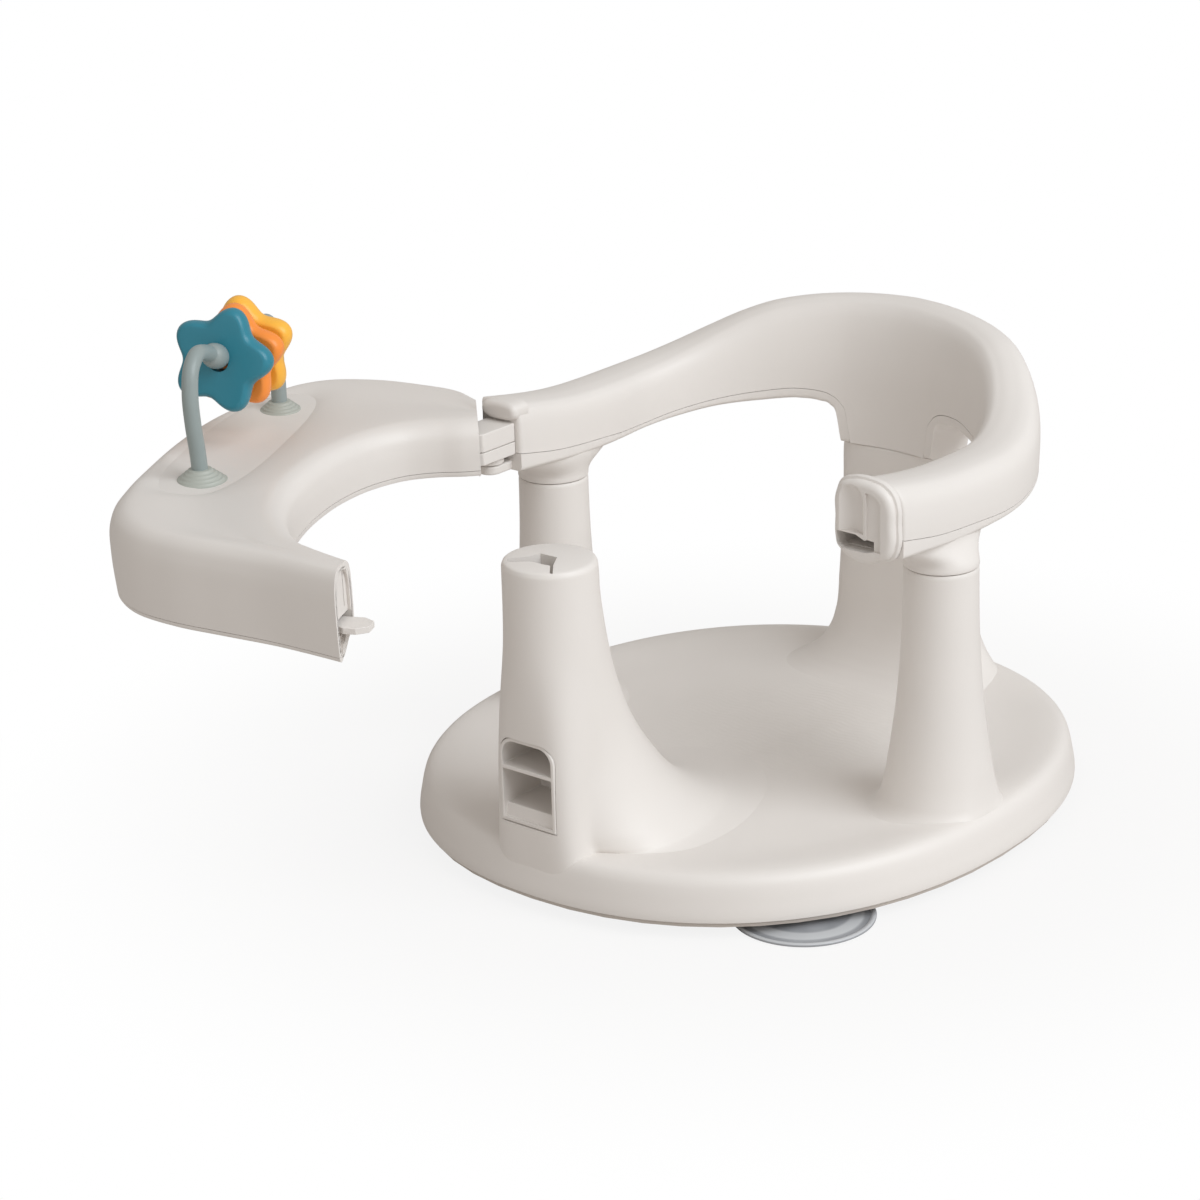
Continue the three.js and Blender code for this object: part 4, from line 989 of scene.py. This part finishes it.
def end_block(s0, s1, z0, z1):
    """A box that reaches from in front of the tray's end to deep inside it."""
    x0, x1 = TRAY_INNER[-1][0] + s0, TRAY_INNER[-1][0] + s1
    corners = [[x0, z0], [x1, z0], [x1, z1], [x0, z1]]
    return extruded("end_block", corners, (-60, -72.5), axis=1, placed=opened)


def tray_end():
    """The cap in the latch end: an outline drawn in along its own normals, row by row, to a rim and a
    panel behind it, with a slot for the tongue and a groove above it."""
    outline = np.array(END_OUTLINE)
    loop = path(np.concatenate([outline[-3:], outline, outline[:3]]), shares(401))
    first, last = (np.argmin(np.hypot(*(part - outline[0]).T)) for part in (loop[:200], loop[200:]))
    loop = loop[first:200 + last]
    along = np.roll(loop, -1, axis=0) - np.roll(loop, 1, axis=0)
    inward = np.column_stack([-along[:, 1], along[:, 0]]) / np.hypot(*along.T)[:, None]
    x, y = TRAY_INNER[-1]
    rings = []
    for inset, depth in END_ROWS:
        s, z = (loop + inward * inset).T
        rings.append(np.column_stack([x + s - END_SKEW * depth, np.full(len(s), y - depth), z]))
    slot, groove = end_block(2.4, 20.2, 172.6, 180.8), end_block(6.2, 6.9, 184, 202)
    return carved(skin("tray_end", opened(rings)), [slot, groove])


belongs(tray_end(), "tray", "beige_plastic")
belongs(hinge_eye(), "tray", "beige_plastic")
belongs(post_key(), "tray", "beige_plastic")
softened("latch_tongue", "tongue", "beige_plastic", 0.7)

# %% [markdown]
# ## The toy bar
#
# A bent rod stands in two stepped cones and carries three stars that spin. The rod is a round section
# carried along a curve in one upright plane, so its frame never twists: one direction across the rod is
# always level. The cones are turned, with small steps cut into their profile.

# %% Rod and feet
ROD_RADIUS = 4
ROD_SWELL = 2.3
ROD_SWELL_HALF = 6  # half its length
ROD_TIP = 31  # where the rod swells, just before it enters the first star
ROD_LINE = [
    [0, 192.4], [0, 206], [-1, 217], [-3.4, 232], [-3.6, 247], [0, 257.5], [8, 262.5], [18, 260.8],
    [28, 256.4], [39, 252], [52, 249.2], [66, 248.6], [80, 250], [91, 252.4], [100, 252],
    [106.4, 247], [109, 238], [109.4, 222], [109, 206], [109, 192.4],
]


def toy_rod():
    """A circle round each point of the line. Near the tip its radius swells and falls again like half
    an oval."""
    line = path(ROD_LINE, shares(420))
    along = np.gradient(line, axis=0)
    along /= np.linalg.norm(along, axis=1)[:, None]
    angles = round_angles(40)
    gone = np.clip((line[:, :1] - ROD_TIP) / ROD_SWELL_HALF, -1, 1)
    first_half = np.arange(len(line))[:, None] < len(line) // 2
    radius = ROD_RADIUS + ROD_SWELL * np.where(first_half, np.sqrt(1 - gone ** 2), 0)
    s = line[:, :1] - radius * np.cos(angles) * along[:, 1:]
    z = line[:, 1:] + radius * np.cos(angles) * along[:, :1]
    y = TOY_FRONT[1] + radius * np.sin(angles)
    return skin("toy_bar", opened(np.stack([TOY_FRONT[0] - s, y, z], -1)))


def stepped_foot(name, at, radius, height, steps=5):
    """A cone of fine steps: each step is a short upright band, then a small ledge with round edges."""
    base = 200.7
    profile = [[radius - 0.4, base], [radius, base + 0.3]]
    for i in range(steps):
        r = radius - i * (radius - 6) / (steps - 1)
        z = base + height * (i + 1) / steps
        profile += [[r, z - 0.55], [r - 0.1, z - 0.25], [r - 0.45, z - 0.1], [r - 1.1, z - 0.04]]
    profile += [[4.3, base + height + 0.1]]
    angles = round_angles(96)
    rows = np.array(profile)
    radii = np.repeat(rows[:, :1], len(angles), axis=1)
    return skin(name, opened(polar_rings(at, radii, angles, rows[:, 1])), 62)


belongs(toy_rod(), "tray", "rod_plastic", "toy_rod")
belongs(stepped_foot("foot_front", TOY_FRONT, 13.2, 7.2), "tray", "foot_plastic", "toy_foot_front")
belongs(stepped_foot("foot_rear", TOY_REAR, 12, 6.4), "tray", "foot_plastic", "toy_foot_rear")

# %% [markdown]
# ## The stars
#
# Each star is a soft five-lobed disc. Its edge is a circle whose radius rises and falls five times a
# turn, and its thickness is rounded like a pebble: the further a ring is from the middle plane, the
# further it is drawn in. Each star turns on its own body, so each is a piece of its own.

# %% Stars
STAR_THICKNESS = 10.8
STAR_SAG = 1.1
STAR_RADIUS = 23.3
STAR_WAVE = 3.3
STAR_ROUNDING = 3.6
STAR_HOLE = 5.4


def rod_height(distance):
    """Height of the rod's middle line, at this distance behind the front foot."""
    level = np.array(ROD_LINE[5:15])  # the part that only runs sideways
    return float(np.interp(distance, level[:, 0], level[:, 1]))


def star(name, distance, phase):
    """The edge radius is the mean radius + wave * cos(5 a), drawn in towards both faces along a quarter
    circle."""
    slope = math.atan2(rod_height(distance + 5) - rod_height(distance - 5), 10) / 2
    angles = round_angles(200)
    edge = STAR_RADIUS + STAR_WAVE * np.cos(5 * (angles - math.radians(phase)))
    bend = np.linspace(-math.pi / 2, math.pi / 2, 25)
    h = np.sin(bend) * STAR_THICKNESS / 2
    drawn_in = STAR_ROUNDING * (1 - np.cos(bend))
    outer = edge[None] - drawn_in[:, None]
    face = np.array([0.82, 0.6, 0.42])
    before = outer[:1] * face[::-1][:, None]
    after = outer[-1:] * face[:, None]
    hole = np.full((1, len(angles)), STAR_HOLE)
    radius = np.concatenate([hole, before, outer, after, hole])
    flat = STAR_THICKNESS / 2
    depth = np.concatenate([[-flat + 0.3], [-flat] * 3, h, [flat] * 3, [flat - 0.3]])
    x = np.broadcast_to(-depth[:, None], radius.shape)
    y = radius * np.cos(angles)
    z = radius * np.sin(angles)
    tilted_x = x * math.cos(slope) + z * math.sin(slope)
    tilted_z = z * math.cos(slope) - x * math.sin(slope)
    points = np.stack([
        TOY_FRONT[0] - distance + tilted_x, TOY_FRONT[1] + y, rod_height(distance) - STAR_SAG + tilted_z,
    ], -1)
    rows, around = radius.shape
    bore = np.stack([np.arange(around), np.roll(np.arange(around), -1)], -1)
    ring = (rows - 1) * around
    joined = np.column_stack([bore[:, 1], bore[:, 0], bore[:, 0] + ring, bore[:, 1] + ring])
    return piece(name, opened(points).reshape(-1, 3), [grid_faces(rows, around), joined], 40)


for colour, distance, phase in (("teal", 39, 0), ("orange", 55, 14), ("yellow", 70, 22)):
    belongs(star(f"{colour}_lobes", distance, phase), f"{colour}_star", f"{colour}_plastic", f"star_{colour}")

# %% [markdown]
# ## Suction cups
#
# Each cup is a thin soft dish with a stem that plugs into the bottom plate. Its rim is a little thicker
# than the dish.

# %% Suction cups
CUP_RADIUS = 35
CUPS = {"front_left": (109, -102), "front_right": (-88, -102), "rear_left": (88, 96), "rear_right": (-88, 96)}
CUP_PROFILE = [
    [CUP_RADIUS - 1.2, 0], [CUP_RADIUS - 0.4, 0.1], [CUP_RADIUS, 0.7], [CUP_RADIUS - 0.3, 1.4],
    [CUP_RADIUS - 1.2, 1.75], [CUP_RADIUS - 2.2, 1.6], [CUP_RADIUS - 2.9, 1.15], [CUP_RADIUS - 4, 1.1],
    [26, 1.7], [20, 2.3], [13, 2.9], [8, 3.4], [5.6, 4.2], [4.9, 5.2], [4.8, 9], [5, 12],
]
STEM_BOSS = [[7.5, 2.7], [9, 2.9], [9.8, 3.5], [10, 4.4], [10.4, 5.3]]
for place, (x, y) in CUPS.items():
    cup = turned(f"cup_{place}", x, y, CUP_PROFILE, 70, 120)
    belongs(cup, "seat", "cup_rubber", f"suction_cup_{place}")
    belongs(turned(f"stem_boss_{place}", x, y, STEM_BOSS, 20), "seat", "beige_plastic")
# the bottom plate wears a darker beige, which is painted shade
softened("base_bottom_plate", "seat", "base_plate_plastic", 0.4, 2)

# %% [markdown]
# ## A small vocabulary for shaders
#
# A recipe reads better as arithmetic than as a list of links. `Wire` wraps the output of a node, so that
# `a * 0.5 + b` makes the two math nodes by itself. `Nodes` adds any other node, with its settings and
# inputs. `Finish` is the tree of one material, and also sets or feeds the inputs of its surface shader.

# %% Wires and finishes


class Wire:
    """The output of a node, with arithmetic."""

    def __init__(self, finish, socket):
        self.finish, self.socket = finish, socket

    def math(self, operation, *others, swap=False):
        inputs = [self, *others]
        return self.finish.node("ShaderNodeMath", {"operation": operation}, inputs[::-1] if swap else inputs)

    def __add__(self, other):
        return self.math("ADD", other)

    __radd__ = __add__

    def __mul__(self, other):
        return self.math("MULTIPLY", other)

    __rmul__ = __mul__

    def __sub__(self, other):
        return self.math("SUBTRACT", other)

    def __rsub__(self, other):
        return self.math("SUBTRACT", other, swap=True)

    def __truediv__(self, other):
        return self.math("DIVIDE", other)

    def __pow__(self, other):
        return self.math("POWER", other)

    def between(self, low, high):
        """0 below low, 1 above high, smooth between."""
        settings = {"interpolation_type": "SMOOTHSTEP"}
        inputs = {"Value": self, "From Min": low, "From Max": high}
        return self.finish.node("ShaderNodeMapRange", settings, inputs)


class Nodes:
    """A tree of nodes, with one method to add any of them."""

    def __init__(self, tree):
        self.tree = tree

    def feed(self, socket, value):
        """Links a wire to the socket, or sets its plain value."""
        if isinstance(value, Wire):
            self.tree.links.new(value.socket, socket)
        else:
            socket.default_value = value

    def node(self, kind, settings=None, inputs=None, output=0):
        """Any node: first its settings, then its inputs by name or in order."""
        made = self.tree.nodes.new(kind)
        for key, value in (settings or {}).items():
            setattr(made, key, value)
        pairs = inputs.items() if isinstance(inputs, dict) else enumerate(inputs or [])
        for key, value in pairs:
            self.feed(made.inputs[key], value)
        return Wire(self, made.outputs[output])


class Finish(Nodes):
    """One material and its nodes."""

    def __init__(self, name):
        self.material = bpy.data.materials.new(name)
        self.material.use_nodes = True
        super().__init__(self.material.node_tree)
        self.surface = self.tree.nodes["Principled BSDF"]
        self.out = self.tree.nodes["Material Output"]

    def place(self):
        """Where a point lies on its own object."""
        return self.node("ShaderNodeTexCoord", output="Object")

    def noise(self, scale, detail=2.0, stretch=(1, 1, 1)):
        """Soft noise in space, finer along a stretched direction."""
        at = self.node("ShaderNodeMapping", {}, {"Vector": self.place(), "Scale": stretch})
        return self.node("ShaderNodeTexNoise", {}, {"Vector": at, "Scale": scale, "Detail": detail})

    def blend(self, factor, first, second):
        """The first colour, turning into the second as the factor rises to 1."""
        settings = {"data_type": "RGBA", "clamp_factor": True}
        return self.node("ShaderNodeMix", settings, {0: factor, 6: first, 7: second}, output=2)

    def bump(self, height, distance, strength=1.0):
        """A normal tilted by a height that is given in shares of the distance."""
        return self.node("ShaderNodeBump", {}, {"Height": height, "Distance": distance, "Strength": strength})

    def wear(self, **inputs):
        """Sets or feeds inputs of the surface shader by name."""
        for key, value in inputs.items():
            self.feed(self.surface.inputs[key.replace("_", " ")], value)
        return self


def linear(red, green, blue):
    """A display colour, 0 to 255, as the linear light that a shader takes."""
    share = np.array([red, green, blue]) / 255
    light = np.where(share <= 0.04045, share / 12.92, ((share + 0.055) / 1.055) ** 2.4)
    return (*light.tolist(), 1.0)


BEIGE = linear(230, 225, 220)
print("beige in linear light", [round(c, 3) for c in BEIGE])

# %% [markdown]
# ## Moulded plastic
#
# Polypropylene out of a polished mould is satin: it scatters most light under a soft broad shine. Three
# faint irregularities keep it from looking computed: a slow drift in tone, a slight change in gloss, and
# a grain of a few hundredths of a millimetre that is seen only as a breakup of the highlight.

# %% Plastic


def moulded_plastic(name, colour, roughness=0.42, grain=1.0):
    """Satin plastic of one colour, with a drift in tone, a change in gloss and a fine grain."""
    finish = Finish(name)
    drift = finish.noise(9, 2)
    shade = tuple(c * 0.965 for c in colour[:3]) + (1.0,)
    tone = finish.blend(drift.between(0.35, 0.65), shade, colour)
    speck = finish.noise(1500, 1)
    gloss = roughness + (finish.noise(40, 2) - 0.5) * 0.08 + (speck - 0.5) * 0.05
    return finish.wear(Base_Color=tone, Roughness=gloss, Normal=finish.bump(speck, 0.00002 * grain), IOR=1.47)


PLASTICS = {
    "beige_plastic": (BEIGE, 0.45, 1.0),
    "pocket_plastic": (linear(229, 224, 219), 0.47, 1.0),
    # the bottom plate's darker beige is painted shade, for the shade under the base
    "base_plate_plastic": (linear(203, 195, 187), 0.55, 1.5),
    "rod_plastic": (linear(150, 161, 160), 0.36, 1.0),
    "foot_plastic": (linear(178, 182, 174), 0.5, 1.0),
    "teal_plastic": (linear(48, 132, 152), 0.34, 0.8),
    "orange_plastic": (linear(255, 150, 62), 0.34, 0.8),
    "yellow_plastic": (linear(255, 190, 70), 0.34, 0.8),
}
FINISHES = {slot: moulded_plastic(slot, *recipe) for slot, recipe in PLASTICS.items()}
print(len(FINISHES), "plastics")

# %% [markdown]
# ## Anti-slip ribs on the seat
#
# The seat is moulded with fine wavy ribs that run across it and fade out towards the rim and the posts.
# They are too fine to model, so the same beige gets a rippled normal. The ripple is a sine of the
# distance along the seat, with the lines themselves bent by a slow sine across it. Masks keep it to the
# flat middle of the seat, where the surface looks straight up.

# %% Ribbed seat
RIB_PERIOD = 0.0036


def ribbed_seat():
    """The beige plastic with ripples: a sine along the seat, bent by a slower sine across it."""
    finish = moulded_plastic("beige_ribbed", BEIGE, 0.45, 1.0)
    place = finish.node("ShaderNodeSeparateXYZ", {}, [finish.place()])
    x, y, z = (Wire(finish, place.socket.node.outputs[axis]) for axis in "XYZ")
    wave = (x * (2 * math.pi / 0.024)).math("SINE") * 0.0011
    ripple = ((y + wave) * (2 * math.pi / RIB_PERIOD)).math("SINE")
    reach = ((x / 0.085) ** 2 + ((y - 0.03) / 0.085) ** 2).math("SQRT")
    inside = 1 - reach.between(0.5, 1.0)
    level = 1 - z.between(0.0283, 0.0292)
    height = ripple * inside * level
    finish.wear(Normal=finish.bump(height, 0.00005))
    return finish


RIBBED = ribbed_seat()

# %% [markdown]
# ## Rubber and steel
#
# The cups are soft grey rubber, with a painted highlight that makes them paler along the thicker rim.
# Steel hardly shows, only at the screws and at the pin.

# %% Rubber and steel


def cup_rubber():
    """Grey, with a painted highlight: a paler band on the thick rim, which is picked by its height above the
    floor.
    """
    finish = Finish("cup_rubber")
    drift = finish.noise(60, 2).between(0.3, 0.7)
    tone = finish.blend(drift, linear(150, 152, 156), linear(162, 164, 168))
    place = finish.node("ShaderNodeSeparateXYZ", {}, [finish.place()])
    z = Wire(finish, place.socket.node.outputs["Z"])
    # painted highlight: the band on the rim is made paler, as if light caught the raised rim
    rim = z.between(0.00112, 0.00135) * (1 - z.between(0.0019, 0.0021))
    tone = finish.blend(rim, tone, linear(196, 198, 200))
    return finish.wear(Base_Color=tone, Roughness=0.38, IOR=1.43)


def brushed_steel():
    """Metal whose roughness follows a stretched noise."""
    finish = Finish("steel")
    scratch = finish.noise(300, 3, (1, 1, 12))
    return finish.wear(Base_Color=linear(196, 198, 201), Metallic=1.0, Roughness=0.26 + scratch * 0.12)


FINISHES["cup_rubber"] = cup_rubber()
FINISHES["steel"] = brushed_steel()
for slot, pieces in FINISHED.items():
    for made in pieces:
        made.data.materials.clear()
        made.data.materials.append(FINISHES[slot].material)
base.data.materials[0] = RIBBED.material
STEEL_NODES = ("base_screws_", "tray_screws_", "toy_rod_nuts_", "hinge_pin", "latch_spring")
for name, node in NODES.items():
    if name.startswith(STEEL_NODES):
        node.data.materials.clear()
        node.data.materials.append(FINISHES["steel"].material)
print("finishes on", sum(map(len, FINISHED.values())), "pieces")

# %% [markdown]
# ## Studio floor, light and camera
#
# The photo is a cut-out on white: only a soft shadow lies under the seat. The floor is therefore a blend
# of a pale grey surface, which takes the shadow and throws back a soft light, and plain white light for
# the camera. The share of white grows with the distance from the seat. Beyond the floor the
# world is white to the camera and gives a soft warm light to everything else. One broad lamp from the
# right shapes the seat, and leaves its front and left sides in a warm shade, as in the photo.

# %% Floor and backdrop
FLOOR_GLOW = (0.86, 1.0)  # share of plain white that the camera sees, near the seat and far off
FLOOR_FADE = (0.16, 0.42)  # distances between which it grows


def studio_floor():
    """A floor that is the more plain white light to the camera, the further it lies from the seat."""
    half = 3.0
    corners = np.array([[-half, -half, 0], [half, -half, 0], [half, half, 0], [-half, half, 0]])
    mesh = bpy.data.meshes.new("studio_floor")
    mesh.from_pydata((corners - [0, 0, 0.0002]).tolist(), [], [[0, 1, 2, 3]])
    floor = bpy.data.objects.new("studio_floor", mesh)
    bpy.context.scene.collection.objects.link(floor)
    finish = Finish("floor")
    finish.wear(Base_Color=(0.64, 0.61, 0.585, 1), Roughness=1.0, Specular_IOR_Level=0.0)
    seen = finish.node("ShaderNodeLightPath", output="Is Camera Ray")
    white = finish.node("ShaderNodeEmission", {}, {"Strength": 1.0})
    plain = Wire(finish, finish.surface.outputs[0])
    away = finish.node("ShaderNodeVectorMath", {"operation": "LENGTH"}, [finish.place()], output=1)
    near, far = FLOOR_GLOW
    glow = seen * (near + away.between(*FLOOR_FADE) * (far - near))
    finish.feed(finish.out.inputs["Surface"], finish.node("ShaderNodeMixShader", {}, [glow, plain, white]))
    mesh.materials.append(finish.material)


def white_world(colour, strength):
    """Plain white where the camera looks, and a soft light of this colour for everything else."""
    world = bpy.data.worlds.new("studio")
    world.use_nodes = True
    sky = Nodes(world.node_tree)
    sky.tree.nodes.clear()
    seen = sky.node("ShaderNodeLightPath", output="Is Camera Ray")
    through = sky.node("ShaderNodeLightPath", output="Is Transmission Ray")
    soft = sky.node("ShaderNodeBackground", {}, {"Color": colour, "Strength": strength})
    white = sky.node("ShaderNodeBackground", {}, {"Color": (1, 1, 1, 1), "Strength": 1.0})
    mix = sky.node("ShaderNodeMixShader", {}, [seen.math("MAXIMUM", through), soft, white])
    sky.feed(sky.tree.nodes.new("ShaderNodeOutputWorld").inputs["Surface"], mix)
    bpy.context.scene.world = world


SEAT_MIDDLE = (0, -0.02, 0.12)


def lamp(name, at, size, watts, colour=(1, 1, 1)):
    """A square lamp that faces the middle of the seat."""
    light = bpy.data.lights.new(name, "AREA")
    light.shape = "SQUARE"
    light.size = size
    light.energy = watts
    light.color = colour
    made = bpy.data.objects.new(name, light)
    made.location = at
    made.rotation_euler = (Vector(SEAT_MIDDLE) - Vector(at)).to_track_quat("-Z", "Y").to_euler()
    bpy.context.scene.collection.objects.link(made)


studio_floor()
white_world((1, 0.955, 0.91, 1), 0.5)
lamp("key", (2.0, 0.0, 1.85), 2.0, 50, (0.95, 1.0, 1.05))
lamp("fill", (0.3, -2.2, 0.9), 1.6, 2.5)
print("floor, world and two lamps")

# %% [markdown]
# ## Camera
#
# The camera was found from the photo itself: level edges, uprights and equal heights fix where it looks,
# how far away it stands and how much it is tilted.

# %% Camera
CAMERA_AT = (0.96219, -1.26314, 0.69225)
AZIMUTH, ELEVATION, ROLL = (math.radians(a) for a in (40.01, 20.18, -1.65))
FOCAL_PIXELS = 3318.67
SENSOR = 36.0


def photo_camera():
    """Looks back along its azimuth and elevation, and is rolled about its own line of sight."""
    flat = math.cos(ELEVATION)
    back = np.array([math.sin(AZIMUTH) * flat, -math.cos(AZIMUTH) * flat, math.sin(ELEVATION)])
    level = np.array([math.cos(AZIMUTH), math.sin(AZIMUTH), 0])
    upright = np.cross(back, level)
    right = level * math.cos(ROLL) + upright * math.sin(ROLL)
    up = upright * math.cos(ROLL) - level * math.sin(ROLL)
    data = bpy.data.cameras.new("camera")
    data.sensor_width = SENSOR
    data.lens = FOCAL_PIXELS * SENSOR / 1200
    data.clip_start, data.clip_end = 0.05, 30
    made = bpy.data.objects.new("camera", data)
    turned_to = Matrix(np.column_stack([right, up, back]).tolist()).to_4x4()
    made.matrix_world = Matrix.Translation(CAMERA_AT) @ turned_to
    bpy.context.scene.collection.objects.link(made)
    bpy.context.scene.camera = made


photo_camera()
bpy.context.scene.view_settings.view_transform = "Standard"
print("lens", round(FOCAL_PIXELS * SENSOR / 1200, 2), "mm")
